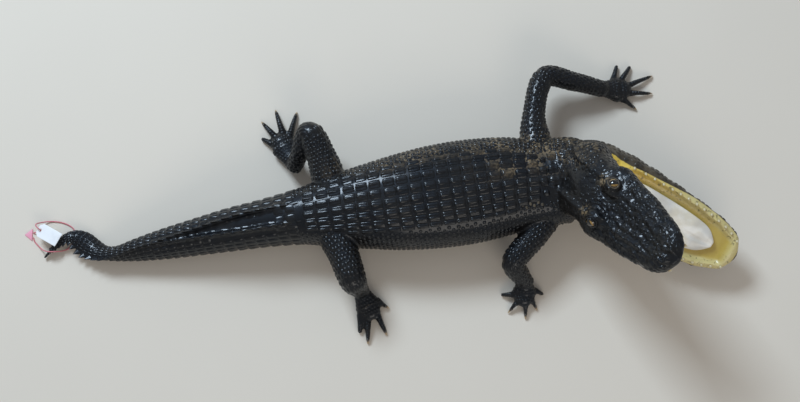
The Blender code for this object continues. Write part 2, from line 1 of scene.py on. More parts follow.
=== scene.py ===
# %% [markdown]
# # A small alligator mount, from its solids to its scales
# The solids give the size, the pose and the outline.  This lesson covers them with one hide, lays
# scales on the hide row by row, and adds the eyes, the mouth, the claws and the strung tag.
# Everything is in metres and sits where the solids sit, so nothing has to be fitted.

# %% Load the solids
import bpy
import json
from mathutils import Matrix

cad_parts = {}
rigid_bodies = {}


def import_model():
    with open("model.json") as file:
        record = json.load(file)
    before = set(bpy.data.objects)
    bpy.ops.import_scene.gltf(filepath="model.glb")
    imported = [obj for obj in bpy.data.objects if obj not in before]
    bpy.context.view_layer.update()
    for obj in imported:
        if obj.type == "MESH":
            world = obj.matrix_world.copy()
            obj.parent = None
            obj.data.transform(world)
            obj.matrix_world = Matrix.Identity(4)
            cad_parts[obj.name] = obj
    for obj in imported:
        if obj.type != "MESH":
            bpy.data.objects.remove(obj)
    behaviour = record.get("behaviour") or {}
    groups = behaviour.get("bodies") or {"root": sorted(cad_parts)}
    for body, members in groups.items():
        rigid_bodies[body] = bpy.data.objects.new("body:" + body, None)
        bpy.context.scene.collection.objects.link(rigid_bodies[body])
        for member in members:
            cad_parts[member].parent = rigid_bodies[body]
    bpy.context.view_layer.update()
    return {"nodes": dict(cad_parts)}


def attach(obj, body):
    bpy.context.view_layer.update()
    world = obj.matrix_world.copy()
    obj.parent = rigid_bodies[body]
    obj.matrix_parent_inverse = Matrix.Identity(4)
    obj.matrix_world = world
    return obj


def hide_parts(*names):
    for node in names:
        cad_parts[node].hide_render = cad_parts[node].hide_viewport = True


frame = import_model()

# %% [markdown]
# Numbers in a drawing are easier to read in millimetres, so `place` takes the animal's middle
# off and turns millimetres into metres.

# %% Units and small helpers
import json
import math

import bmesh
import bpy
import numpy as np
from mathutils import Matrix, Vector
from mathutils.bvhtree import BVHTree
from mathutils.kdtree import KDTree

MM = 0.001
MIDDLE = np.array((4.5, 8.3, 0.0))
rng = np.random.default_rng(7)


def place(points):
    return (np.asarray(points, float) - MIDDLE) * MM


def unit(v):
    return v / np.maximum(np.linalg.norm(v, axis=-1, keepdims=True), 1e-12)


def curve_through(rows, steps):
    """Extra rows on a smooth curve through the given rows."""
    rows = np.asarray(rows, float)
    padded = np.vstack([2 * rows[0] - rows[1], rows, 2 * rows[-1] - rows[-2]])
    out = []
    for a, b, c, d in zip(padded, padded[1:], padded[2:], padded[3:]):
        for k in range(steps):
            t = k / steps
            out.append(0.5 * (2 * b + (c - a) * t + (2 * a - 5 * b + 4 * c - d) * t * t
                              + (3 * b - a - 3 * c + d) * t ** 3))
    return np.array(out + [rows[-1]])


def deselect():
    for found in bpy.context.view_layer.objects:
        found.select_set(False)


def select_only(piece):
    deselect()
    piece.select_set(True)
    bpy.context.view_layer.objects.active = piece


def apply(piece, modifier):
    select_only(piece)
    bpy.ops.object.modifier_apply(modifier=modifier.name)


def new_mesh(name, verts, faces, smooth=True):
    mesh = bpy.data.meshes.new(name)
    mesh.from_pydata(np.asarray(verts).tolist(), [], faces)
    mesh.polygons.foreach_set("use_smooth", [smooth] * len(mesh.polygons))
    piece = bpy.data.objects.new(name, mesh)
    bpy.context.scene.collection.objects.link(piece)
    return piece


def points_of(piece):
    flat = np.empty(len(piece.data.vertices) * 3)
    piece.data.vertices.foreach_get("co", flat)
    return flat.reshape(-1, 3)


def normals_of(piece):
    flat = np.empty(len(piece.data.vertices) * 3)
    piece.data.vertex_normals.foreach_get("vector", flat)
    return flat.reshape(-1, 3)


def move_points(piece, points):
    piece.data.vertices.foreach_set("co", np.asarray(points, float).ravel())
    piece.data.update()


def outward_faces(piece):
    bm = bmesh.new()
    bm.from_mesh(piece.data)
    bmesh.ops.recalc_face_normals(bm, faces=bm.faces)
    bm.to_mesh(piece.data)
    bm.free()


def ring_faces(index):
    """Quads between the rings of a tube, from the numbers of its points, a row for each ring."""
    after = np.roll(index, -1, axis=1)
    return np.stack([index[:-1], after[:-1], after[1:], index[1:]], -1).reshape(-1, 4)


def tube_faces(index):
    return ring_faces(index).tolist() + [index[0][::-1].tolist(), index[-1].tolist()]


def column(table, x, which=1):
    """One column of a table, read at x."""
    return np.interp(x, [row[0] for row in table], [row[which] for row in table])


def attribute(piece, name, values):
    made = piece.data.attributes.new(name, "FLOAT", "POINT")
    made.data.foreach_set("value", np.asarray(values, float).ravel())


def finish(piece, slot, *nodes):
    """Says what body the piece is on and which solids it stands for; `slot`, what it is made of, is
    not used.
    """
    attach(piece, "root")
    if nodes:
        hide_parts(*nodes)
    return piece


# %% [markdown]
# ## The view
# The mount lies on the floor and is looked at from almost overhead, a metre and a half away.
# A 54 mm lens at that distance keeps the raised snout only a little larger than the feet.

# %% Camera
LOOK_AT = Vector(place((20, 5, 30)))
DISTANCE, ELEVATION = 1.5, math.radians(80)
camera = bpy.data.objects.new("camera", bpy.data.cameras.new("camera"))
bpy.context.scene.collection.objects.link(camera)
camera.data.lens, camera.data.sensor_width = 54, 36
backwards = Vector((0, -math.cos(ELEVATION), math.sin(ELEVATION)))
camera.location = LOOK_AT + backwards * DISTANCE
camera.rotation_euler = backwards.to_track_quat("Z", "Y").to_euler()
bpy.context.scene.camera = camera
print("camera at", [round(c, 3) for c in camera.location])

# %% [markdown]
# ## Colour and finish, made of nodes
# Each finish is a small tree of nodes.  `Paint` keeps the wiring short: one call adds a node,
# and plain numbers go straight on its sockets.

# %% A short way to wire a finish
class Paint:
    def __init__(self, name):
        self.material = bpy.data.materials.new(name)
        self.material.use_nodes = True
        self.tree = self.material.node_tree
        self.shader = self.tree.nodes["Principled BSDF"]
        self.object_place = self.add("ShaderNodeTexCoord").outputs["Object"]

    def add(self, kind, inputs=None, **settings):
        node = self.tree.nodes.new(kind)
        for key, value in settings.items():
            setattr(node, key, value)
        for key, value in (inputs or {}).items():
            self.put(node.inputs[key], value)
        return node

    def put(self, socket, value):
        if isinstance(value, bpy.types.NodeSocket):
            self.tree.links.new(value, socket)
        else:
            socket.default_value = value

    def noise(self, scale, detail=3.0, roughness=0.5):
        inputs = {"Vector": self.object_place, "Scale": scale, "Detail": detail,
                  "Roughness": roughness}
        return self.add("ShaderNodeTexNoise", inputs).outputs["Fac"]

    def cell_edges(self, scale):
        return self.add("ShaderNodeTexVoronoi", {"Vector": self.object_place, "Scale": scale},
                        feature="DISTANCE_TO_EDGE").outputs["Distance"]

    def math(self, operation, a, b=0.0, clamp=False):
        return self.add("ShaderNodeMath", {0: a, 1: b}, operation=operation,
                        use_clamp=clamp).outputs[0]

    def band(self, value, low, high, out_low=0.0, out_high=1.0):
        return self.add("ShaderNodeMapRange", {"Value": value, "From Min": low, "From Max": high,
                                               "To Min": out_low, "To Max": out_high},
                        interpolation_type="SMOOTHSTEP").outputs["Result"]

    def mix(self, factor, a, b):
        return self.add("ShaderNodeMix", {0: factor, 6: a, 7: b}, data_type="RGBA").outputs[2]

    def attribute(self, name):
        return self.add("ShaderNodeAttribute", attribute_name=name).outputs["Fac"]

    def bump(self, height, distance, strength=1.0, under=None):
        inputs = {"Height": height, "Distance": distance, "Strength": strength}
        if under is not None:
            inputs["Normal"] = under
        return self.add("ShaderNodeBump", inputs).outputs["Normal"]

    def done(self, **sockets):
        for key, value in sockets.items():
            self.put(self.shader.inputs[key.replace("_", " ")], value)
        return self.material

    def onto(self, piece, **sockets):
        piece.data.materials.append(self.done(**sockets))


def rgb(r, g, b):
    return (r, g, b, 1.0)


# %% [markdown]
# ## The string of the tag
# The tag hangs on a thin twisted cotton string about 1.6 mm thick.  It starts at a small end
# tab, lies on the floor, passes over the tail tip and under the tail, and comes up through the
# hole of the card.  A tube swept along the route would be smooth, so the ring of each step is
# a three-lobed shape that turns as it goes, which is what twisted yarn looks like.

# %% String route and twisted yarn
STRING_DIAMETER = 1.6 * MM
STRING_ROUTE = [
    (-444.8, -37, 0.9), (-443, -42, 0.9), (-438, -47.5, 1.4), (-431, -53, 6.4), (-424, -56, 11.6),
    (-416, -56.5, 12.4), (-409, -55.5, 8), (-402, -52.5, 1.6), (-395, -47, 0.95),
    (-391.5, -38, 0.95), (-393, -28, 0.95), (-400, -21.5, 1), (-411, -17.5, 1), (-423, -16.5, 1.2),
    (-433, -18, 4.5), (-438.5, -21, 11.5), (-437.5, -24.5, 16.6), (-434, -28, 17),
    (-432.6, -29.1, 13.3), (-434.5, -29.8, 9), (-439.5, -30.4, 4.5), (-445.4, -31, 0.9),
]
string_line = place(curve_through(STRING_ROUTE, 2))


def twisted_yarn(name, line, radius, count=18, lobe=0.16, twist=0.55):
    up, rings = np.array((0.0, 0.0, 1.0)), []
    turns = 2 * math.pi * np.arange(count) / count
    for i, (p, way) in enumerate(zip(line, unit(np.gradient(line, axis=0)))):
        side = unit(np.cross(up, way))
        up = np.cross(way, side)
        wide = (1 - lobe + lobe * abs(np.cos(1.5 * (turns - twist * i)))) * radius
        rings.append(p + np.outer(wide * np.cos(turns), side) + np.outer(wide * np.sin(turns), up))
    return new_mesh(name, np.concatenate(rings),
                    tube_faces(np.arange(len(line) * count).reshape(-1, count)))


string = twisted_yarn("string", curve_through(string_line, 6), STRING_DIAMETER / 2)

# %% [markdown]
# Cotton yarn is matt, soft at the edges and a little uneven in its dye.  Noise on the object's
# own coordinates gives the unevenness, and a low sheen gives the fuzz.

# %% String finish
paint = Paint("pink_yarn")
fibre = paint.noise(2600, 2)
pink = paint.mix(paint.noise(160), rgb(0.52, 0.10, 0.13), rgb(0.74, 0.26, 0.29))
paint.onto(string, Base_Color=pink, Roughness=0.85, Sheen_Weight=0.4,
           Normal=paint.bump(fibre, 0.0002, 0.7))
finish(string, "string", "tag_string")

# %% [markdown]
# ## The card and the end tab
# The card is a stiff die-cut tag with two cut corners and a punched hole.  A plane is cut to
# shape by moving its corners in, so the outline is modelled, then Solidify gives the thickness
# and Bevel softens the cut edge.  It is blank: the real writing isn't part of the object.

# %% Card, from a plane
CARD_SIZE = (32.0, 18.0, 0.62)
CARD_CENTRE = place((-422, -35, 15))
CARD_TURN, CARD_LEAN, CARD_HOLE = math.radians(-29), math.radians(-8), 12.2
card_axes = (Matrix.Rotation(CARD_TURN, 3, "Z") @ Matrix.Rotation(CARD_LEAN, 3, "Y"))


def card_outline(half_x, half_y, cut, steps=6):
    corners = [(half_x, -half_y), (half_x, half_y), (-half_x + cut, half_y),
               (-half_x, half_y - cut), (-half_x, -half_y + cut), (-half_x + cut, -half_y)]
    loop = []
    for a, b in zip(corners, corners[1:] + corners[:1]):
        loop += [(a[0] + (b[0] - a[0]) * k / steps, a[1] + (b[1] - a[1]) * k / steps)
                 for k in range(steps)]
    return loop


outline = card_outline(CARD_SIZE[0] / 2, CARD_SIZE[1] / 2, 4)
hole = [(-CARD_HOLE + 1.75 * math.cos(a), 1.75 * math.sin(a))
        for a in np.linspace(0, 2 * math.pi, len(outline), endpoint=False)]
start = int(np.argmin([math.hypot(x - CARD_SIZE[0] / 2, y) for x, y in outline]))
outline = outline[start:] + outline[:start]
count = len(outline)
flat, faces = [], []
for ring in range(7):
    f = ring / 6
    flat += [(h[0] + (o[0] - h[0]) * f, h[1] + (o[1] - h[1]) * f) for h, o in zip(hole, outline)]
for ring in range(6):
    faces += [(ring * count + k, (ring + 1) * count + k, (ring + 1) * count + (k + 1) % count,
               ring * count + (k + 1) % count) for k in range(count)]
curl = [0.28 * math.sin(x * 0.17 + 0.6) + 0.1 * math.sin(y * 0.4) for x, y in flat]
card = new_mesh("card", [CARD_CENTRE + MM * np.array(card_axes @ Vector((x, y, z)))
                         for (x, y), z in zip(flat, curl)], faces)
wall = card.modifiers.new("thickness", "SOLIDIFY")
wall.thickness, wall.offset = CARD_SIZE[2] * MM, 0
apply(card, wall)
edge = card.modifiers.new("edge", "BEVEL")
edge.width, edge.segments, edge.limit_method = 0.12 * MM, 2, "ANGLE"
apply(card, edge)
select_only(card)
bpy.ops.object.shade_smooth_by_angle(angle=math.radians(35))
print("card", len(card.data.polygons), "faces")

# %% [markdown]
# The end tab is a small three-cornered piece of soft plastic.  A cylinder with three sides has
# its shape already; its corners are moved into place and its edges bevelled, as moulded edges are.

# %% End tab, from a three-sided cylinder
deselect()
bpy.ops.mesh.primitive_cylinder_add(vertices=3, radius=1, depth=1.7 * MM, end_fill_type="NGON",
                                    location=(0, 0, 0))
tab = bpy.context.object
tab.name = "end_tab"
corners = place([(-446, -25.5, 0), (-446, -41.5, 0), (-456, -33.5, 0)])
bm = bmesh.new()
bm.from_mesh(tab.data)
turns = sorted({round(math.degrees(math.atan2(v.co.y, v.co.x)) % 360) for v in bm.verts})
for v in bm.verts:
    corner = corners[turns.index(round(math.degrees(math.atan2(v.co.y, v.co.x)) % 360))]
    v.co = Vector((corner[0], corner[1], 0.9 * MM + (0.8 if v.co.z > 0 else -0.8) * MM))
bmesh.ops.recalc_face_normals(bm, faces=bm.faces)
bm.to_mesh(tab.data)
bm.free()
select_only(tab)
bpy.ops.object.mode_set(mode="EDIT")
bpy.ops.mesh.select_all(action="SELECT")
bpy.ops.mesh.bevel(offset=0.9 * MM, segments=3, affect="EDGES", clamp_overlap=True)
bpy.ops.object.mode_set(mode="OBJECT")
bpy.ops.object.shade_smooth_by_angle(angle=math.radians(50))

# %% [markdown]
# Card is matt and a little smudged by handling, and moulded plastic has a soft, uneven gloss.
# Noise at two scales gives each of them that without any picture.

# %% Card and tab finishes
paint = Paint("card_stock")
smudge = paint.band(paint.noise(90), 0.45, 0.75)
white = paint.mix(smudge, rgb(0.86, 0.87, 0.89), rgb(0.78, 0.79, 0.82))
paint.onto(card, Base_Color=white, Roughness=0.55,
           Normal=paint.bump(paint.noise(1500, 4), 0.00006, 0.5))
finish(card, "card", "tag_card")
paint = Paint("pink_tab")
pink = paint.mix(paint.noise(140), rgb(0.80, 0.30, 0.42), rgb(0.88, 0.42, 0.52))
paint.onto(tab, Base_Color=pink, Roughness=paint.band(paint.noise(300), 0.3, 0.7, 0.35, 0.55),
           Normal=paint.bump(paint.noise(1200), 0.00008, 0.5))
finish(tab, "tab", "tag_tab")

# %% [markdown]
# ## The body under the scales
# A mounted reptile is its own tanned hide over a shaped filling, so the form underneath is one
# closed body.  It is drawn as sections along a spine, with tubes for legs and toes and balls for
# the brow, the nostrils and the jaw muscle.  The tables are the ones that the solids are drawn
# from; only the cheek of the upper jaw and the tongue are drawn in a little when they are used.

# %% Body tables: place, half width, height over and under, squareness, lean
SPINE = [
    (256, 24, 64, 42, 32, 34, 2.2, 6), (230, 27, 59, 53, 35, 45, 2.3, 4),
    (196, 24, 52, 54, 37, 50, 2.3, 2), (152, 21, 48, 61, 41, 50, 2.3, 0),
    (105, 14, 46, 65, 44, 50, 2.3, 0), (60, 7, 46, 64, 45, 50, 2.3, 0),
    (15, 0, 45, 59, 44, 49, 2.3, 0), (-30, -6, 43, 51, 42, 46, 2.3, 0),
    (-66, -11, 41, 44, 39, 43, 2.2, 0), (-103, -16, 37, 35, 36, 39, 2.2, 0),
    (-145, -23, 33, 30, 33, 35, 2.1, 0), (-190, -31, 29, 27, 29, 30, 2.1, 0),
    (-235, -40, 24, 23, 25, 25, 2.1, 0), (-275, -48, 20, 19, 21, 21, 2.1, 0),
    (-310, -55, 17, 14, 17, 18, 2.1, -4), (-336, -59, 13, 9, 13, 14, 2.0, -25),
    (-352, -57, 11, 7, 12, 11, 2.0, -52), (-366, -50, 9, 6, 14, 12, 2.0, -74),
    (-377, -43, 8, 6, 14, 13, 2.0, -78), (-387, -38, 9, 5, 11, 11, 2.0, -76),
    (-396, -37, 9, 5, 8, 8, 2.0, -72), (-406, -41, 8, 4, 6, 6, 2.0, -60),
    (-414, -48, 6, 4, 5, 5, 2.0, -45), (-422, -56, 5, 3, 4, 4, 2.0, -30),
    (-429, -64, 4, 2, 3, 3, 2.0, -20),
]

CRANIUM = [
    (-34, 30, 26, -2, 2.2), (-14, 43, 36, -8, 2.4), (8, 50, 40, -10, 2.6), (30, 51, 41, -9, 2.7),
    (52, 48, 38, -4, 2.7), (72, 45, 32, -1, 2.6), (92, 43, 28, 0, 2.5), (114, 40, 25, 0, 2.5),
    (136, 37, 23, 0, 2.5), (158, 33, 22, -1, 2.5), (176, 27, 21, -1, 2.4), (188, 19, 18, 0, 2.2),
    (195, 11, 13, 2, 2.0),
]

MANDIBLE = [
    (-32, 36, -2, -24, 2.3), (-8, 46, 4, -36, 2.4), (20, 49, 5, -38, 2.5), (52, 49, 4, -34, 2.6),
    (88, 46, 2, -29, 2.6), (124, 42, 0, -25, 2.6), (156, 38, 0, -21, 2.6), (181, 32, 0, -19, 2.5),
    (198, 24, 0, -16, 2.3), (208, 13, -2, -12, 2.0),
]

#   floor of the mouth, and the tongue: place along the jaw, half width, depth or height
MOUTH_FLOOR = [(26, 26, 7), (50, 37, 11), (92, 36, 12), (134, 32, 11), (166, 26, 10), (188, 18, 8)]
TONGUE = [(34, 21, 4), (60, 32, 7), (97, 31, 8), (136, 27, 7), (160, 21, 6), (174, 12, 4)]
LIMBS = {
    "arm_left": ([(189, 66, 50), (187, 110, 51), (201, 159, 48), (240, 158, 34), (278, 153, 18)],
                 [24, 14.5, 14, 12.5, 11]),
    "arm_right": ([(200, -14, 49), (184, -42, 49), (160, -72, 44), (167, -85, 30), (176, -94, 17)],
                  [22, 17, 15, 13, 11]),
    "leg_left": ([(-64, 18, 44), (-77, 56, 52), (-92, 85, 57), (-105, 65, 38), (-113, 53, 18)],
                 [24, 19, 16, 12, 11]),
    "leg_right": ([(-62, -30, 44), (-50, -62, 54), (-38, -95, 56), (-33, -102, 36),
                   (-29, -106, 17)], [28, 20, 17.5, 13.5, 11]),
}
FEET = {
    "hand_left": dict(wrist=(278, 153, 18), palm=(299, 154, 9), width=17, clawed=3, digit=4.8,
                      digits=[((305, 143), (326, 129)), ((313, 150), (347, 151)),
                              ((312, 159), (348, 175)), ((304, 165), (318, 186)),
                              ((294, 164), (301, 187))]),
    "hand_right": dict(wrist=(176, -94, 17), palm=(175, -108, 9), width=16, clawed=3, digit=4.8,
                       digits=[((183, -112), (192, -130)), ((177, -119), (177, -141)),
                               ((168, -117), (155, -133)), ((164, -110), (148, -110)),
                               ((185, -103), (199, -109))]),
    "foot_left": dict(wrist=(-113, 53, 18), palm=(-128, 78, 9), width=17, clawed=3, digit=5.4,
                      digits=[((-121, 93), (-113, 127)), ((-130, 96), (-141, 130)),
                              ((-138, 90), (-159, 114)), ((-139, 80), (-156, 90))]),
    "foot_right": dict(wrist=(-29, -106, 17), palm=(-20, -124, 9), width=17, clawed=3, digit=5.4,
                       digits=[((-9, -118), (7, -127)), ((-10, -132), (4, -161)),
                               ((-20, -137), (-20, -172)), ((-29, -134), (-30, -156))]),
}
EYE_RADIUS, CLAW_LENGTH = 8.2, 11.0
COAT_DEPTH = 0.8
ALONG_X = np.array((1.0, 0.0, 0.0))
UP = np.array((0.0, 0.0, 1.0))


# %% Sections, and the two frames of the open jaws
def smooth(value, low, high):
    t = np.clip((value - low) / (high - low), 0, 1)
    return t * t * (3 - 2 * t)


def bell(value, width):
    return np.exp(-(value / width) ** 2)


def window(value, low, high, soft):
    return smooth(value, low - soft, low + soft) * (1 - smooth(value, high - soft, high + soft))


def section(half, up, down, power, count):
    """A squarish oval that starts over its middle."""
    turn = 2 * np.pi * np.arange(count) / count + np.pi / 2
    c, s = np.cos(turn), np.sin(turn)
    return (half * np.sign(c) * abs(c) ** (2 / power),
            np.where(s > 0, up, down) * np.sign(s) * abs(s) ** (2 / power))


class Jaw:
    """x along the jaw from the hinge, y to the animal's left, z away from the teeth line."""

    def __init__(self, tip, left):
        self.origin = HINGE
        self.x = unit(tip - HINGE)
        self.y = unit(left - self.x * (left @ self.x))
        self.z = np.cross(self.x, self.y)

    def at(self, x, y, z):
        return (self.origin + np.multiply.outer(x, self.x) + np.multiply.outer(y, self.y)
                + np.multiply.outer(z, self.z))

    def of(self, points):
        away = points - self.origin
        return away @ self.x, away @ self.y, away @ self.z


HINGE, LOWER_TIP, UPPER_TIP = (np.array(p, float) for p in ((249, 24, 73), (436, -72, 47),
                                                            (330, -95, 205)))
left_of_head = -unit(np.cross(unit(LOWER_TIP - HINGE), unit(UPPER_TIP - HINGE)))
lower, upper = Jaw(LOWER_TIP, left_of_head), Jaw(UPPER_TIP, left_of_head)
gape = math.degrees(math.acos(float(lower.x @ upper.x)))
print("gape", round(gape), "degrees")


def spine_frames(rows):
    places = rows[:, :3]
    ahead = unit(np.gradient(places, axis=0))
    side = unit(np.cross(UP, ahead))
    over = np.cross(ahead, side)
    lean = np.radians(rows[:, 7])[:, None]
    return places, ahead, side * np.cos(lean) + over * np.sin(lean), \
        over * np.cos(lean) - side * np.sin(lean)


def spine_rings(count, steps):
    rows = curve_through(SPINE, steps)
    places, ahead, side, over = spine_frames(rows)
    rings = []
    for row, p, a, b in zip(rows, places, side, over):
        y, z = section(row[3], row[4], row[5], row[6], count)
        rings.append(p + np.outer(y, a) + np.outer(z, b))
    return np.array(rings)


def jaw_rings(jaw, table, count, steps, shape):
    """Sections along a jaw, drawn in over the last 18 mm for a round tip."""
    rings, end = [], table[-1][0]
    for x, half, top, under, power in curve_through(table, steps):
        close = math.sqrt(max(0.0, 1 - max(0.0, (x - end + 18) / 18.6) ** 3))
        half, centre = half * close ** 0.55 if x < end - 8 else min(half, 30) * close, \
            (top + under) / 2
        top, under = (centre + (e - centre) * close ** 0.5 for e in (top, under))
        middle, tall = (top + under) / 2, (top - under) / 2
        y, z = section(half, tall, tall, power, count)
        y, z = shape(x, half, y, z + middle, z > 0)
        rings.append(jaw.at(np.full(count, x), y, z))
    return np.array(rings)


def tube_rings(places, radii, count, steps, flat=1.0, nose=True):
    rows = curve_through([(*p, r) for p, r in zip(places, radii)], steps)
    points, sizes = rows[:, :3], rows[:, 3]
    if nose:
        lead = unit(points[-1] - points[-2])
        more = [0.3, 0.55, 0.75, 0.9, 0.98]
        points = np.vstack([points] + [points[-1] + lead * sizes[-1] * m for m in more])
        sizes = np.append(sizes, [sizes[-1] * math.sqrt(1 - m * m) for m in more])
    up, rings = UP, []
    for p, r, way in zip(points, sizes, unit(np.gradient(points, axis=0))):
        if abs(way @ up) > 0.97:
            up = ALONG_X if abs(way[0]) < 0.9 else np.array((0.0, 1.0, 0.0))
        side = unit(np.cross(up, way))
        up = np.cross(way, side)
        y, z = section(r, r * flat, r * flat, 2, count)
        rings.append(p + np.outer(y, side) + np.outer(z, up))
    return np.array(rings)


def ball_rings(centre, radii, axes, count=28, steps=18):
    rings = []
    for t in np.pi * np.arange(1, steps) / steps:
        y, z = section(radii[1] * math.sin(t), *(radii[2] * math.sin(t),) * 2, 2, count)
        rings.append(centre - axes[0] * radii[0] * math.cos(t) + np.outer(y, axes[1])
                     + np.outer(z, axes[2]))
    return np.array(rings)


# %% [markdown]
# The lower jaw is a tray: a rim that carries the teeth, and a sunken floor with the tongue on
# it.  The palate is only a little hollow.  Cutting the tray into the section itself leaves a
# rounded rim, where a Boolean would leave a hard one.

# %% Sections of the two jaws
def lower_section(x, half, y, z, on_top):
    floor_half, deep = (column(MOUTH_FLOOR, x, which) for which in (1, 2))
    sunk = smooth(floor_half - abs(y), -2.5, 3.5) * window(x, 20, 192, 5) * on_top
    lip = 0.5 * np.sin(x / 6.3) * (abs(y) > 0.75 * half)
    return y * (1 + 0.012 * np.sin(x / 5.1)), z * (1 - sunk) - deep * sunk + lip


def upper_section(x, half, y, z, on_top):
    sunk = smooth(half - 11 - abs(y), -3, 4) * window(x, 16, 178, 8) * (~on_top)
    lip = 0.9 * np.sin(x / 8.5 + 1) * (abs(y) > 0.75 * half) * (~on_top)
    cheek = 1 - 0.15 * window(x, 14, 56, 12)
    return y * (1 + 0.02 * np.sin(x / 8.5)) * cheek, z + 3.0 * sunk + lip


parts = {"trunk": spine_rings(96, 8),
         "cranium": jaw_rings(upper, CRANIUM, 112, 8, upper_section),
         "mandible": jaw_rings(lower, MANDIBLE, 128, 8, lower_section)}
between = unit(lower.x + upper.x)
parts["jowl"] = ball_rings(HINGE - between * 8, (34, 47, 38),
                           (between, lower.y, np.cross(between, lower.y)), 64, 40)
extras = []
for side in (1, -1):
    axes = (upper.x, upper.y, upper.z)
    extras += [ball_rings(upper.at(74, side * 20, 31), (16, 11, 10), axes),
               ball_rings(upper.at(181, side * 7, 17), (8, 6, 5.5), axes),
               ball_rings(lower.at(2, side * 33, -12), (28, 15, 20), (lower.x, lower.y, lower.z))]
for name, (joints, radii) in LIMBS.items():
    parts[name] = tube_rings(joints, radii, 48, 12)
claw_roots = []
for name, foot in FEET.items():
    wrist, palm = np.array(foot["wrist"], float), np.array(foot["palm"], float)
    lead = unit(palm - wrist) * (1, 1, 0)
    parts[name] = tube_rings([wrist, (wrist + palm) / 2, palm, palm + lead * 6],
                             [10.5, 13, foot["width"], foot["width"] - 3], 48, 8, flat=0.62)
    for i, (base, tip) in enumerate(foot["digits"]):
        clawed = i < foot["clawed"]
        start, knuckle = np.array((*base, 7.5)), np.array((*tip, 3.4))
        way = unit(knuckle - start)
        end = knuckle - way * (CLAW_LENGTH - 1.5 if clawed else 0.5)
        heart = palm * 0.8 + start * 0.2
        heart[2] = 8
        middle = (start + end) / 2 + (0, 0, 2.0)
        size = foot["digit"]
        parts[f"{name}_digit_{i}"] = tube_rings([heart, start, middle, end],
                                                [size, size, size * 0.82, size * 0.66], 28, 7,
                                                flat=0.95)
        if clawed:
            claw_roots.append((knuckle - way * (CLAW_LENGTH - 3), np.array((*tip, 1.0)),
                               size * 0.52))

# %% [markdown]
# The tail is a paddle, and its height comes from a double row of raised scales that runs together
# into one.  The hide has to rise under them, so their line is worked out once, for a low tube
# under the hide now and for the blades on it later.

# %% The tail's crest line: two low rows that run together into one
def crest_line(side, steps):
    rows = curve_through(SPINE, steps)
    places, ahead, across, over = spine_frames(rows)
    kept = (rows[:, 0] < -92) & (rows[:, 0] > -426)
    apart = np.clip((rows[:, 0] + 285) / 120, 0, 1) * 11
    rise = np.minimum(1, (-92 - rows[:, 0]) / 60)
    size = np.maximum(1.7, 3.2 * rows[:, 4] / 30 + 0.9)
    height = rows[:, 4] + (rise * 1.6 - 1) * size
    line = places + across * (side * apart)[:, None] + over * height[:, None]
    return line[kept], ahead[kept], across[kept], over[kept], size[kept], rise[kept]


for side in (1, -1):
    line, ahead, across, over, size, rise = crest_line(side, 3)
    extras.append(tube_rings(line - over * size[:, None] * 0.45, size * 0.9, 10, 1))

# %% [markdown]
# The shapes overlap, so they are joined and given one common grain with a voxel remesh, which
# melts every shape into its neighbours as hide does over a joint.  A few rounds of smoothing
# take the steps out.  The hide lies 0.8 mm inside the solids, to leave room for the scales.

# %% One skin over all of the flesh
verts, faces, total = [], [], 0
for rings in list(parts.values()) + extras:
    n, count = rings.shape[:2]
    verts += [rings.reshape(-1, 3), rings[0].mean(axis=0)[None], rings[-1].mean(axis=0)[None]]
    index = total + np.arange(n * count).reshape(n, count)
    faces += ring_faces(index).tolist()
    faces += [(total + n * count, b, a) for a, b in zip(index[0], np.roll(index[0], -1))]
    faces += [(total + n * count + 1, a, b) for a, b in zip(index[-1], np.roll(index[-1], -1))]
    total += n * count + 2
skin = new_mesh("skin", place(np.concatenate(verts)), faces)
grain = skin.modifiers.new("grain", "REMESH")
grain.mode, grain.voxel_size = "VOXEL", 1.45 * MM
apply(skin, grain)
soften = skin.modifiers.new("soften", "SMOOTH")
soften.factor, soften.iterations = 0.5, 5
apply(skin, soften)
print("skin", len(skin.data.polygons), "faces before shaping")

# %% [markdown]
# ## Shaping the skull under the hide
# On an alligator's head the hide is tight on the bone, so the bone's own relief shows: the edges
# of the skull table behind the eyes, two ridges in front of them, a hollow down the snout, and
# nostrils in a raised pad.  Each is one bell-shaped push along the surface's normal, given by its
# place in the upper jaw's frame, so it stays with the head however the head is turned.

# %% Relief of the head, and soft folds on the neck
def eye_at(side):
    return upper.at(75.0, side * 23.5, 33.5)


def nostril_at(side):
    return upper.at(181.0, side * 7.5, 22.0)


def eye_way(side):
    """Where the opening between the lids faces."""
    return unit(upper.y * side * 0.62 + upper.z * 0.68 + upper.x * 0.36)


found = points_of(skin) / MM + MIDDLE
away = normals_of(skin)
hx, hy, hz = upper.of(found)
lx, ly, lz = lower.of(found)
on_upper = smooth(hz, -6, 0) * window(hx, -40, 205, 6) * (abs(hy) < 60)
top = on_upper * smooth(away @ upper.z, 0.1, 0.6)
wide = abs(hy)
push = -COAT_DEPTH * np.ones(len(found))
push += top * window(hx, -10, 62, 6) * bell(wide - 24, 3.5) * 1.8
push -= top * window(hx, -4, 58, 8) * bell(wide - 13, 7) * 1.0
push += top * window(hx, 88, 152, 6) * bell(wide - (20 - (hx - 90) * 0.09), 3) * 1.5
push -= top * window(hx, 84, 168, 6) * bell(hy, 8) * 1.3
push += top * window(hx, 60, 88, 4) * bell(hy, 3) * 0.8
rough = np.sin(hx / 3.1 + 2 * np.sin(hy / 7)) * np.sin(hy / 2.7 + 1.6 * np.sin(hx / 9))
creases = np.sin(hy / 1.5 + 1.1 * np.sin(hx / 8.0) + 0.5 * np.sin(hx / 3.3))
rough += 1.1 * creases * window(hx, 84, 165, 10)
rough += 0.7 * np.sin(hx / 1.9 + hy / 2.3) * np.sin(hy / 1.7 - hx / 4.1)
push += on_upper * smooth(away @ upper.z, -0.3, 0.3) * 0.45 * rough * smooth(hx, 50, 90)
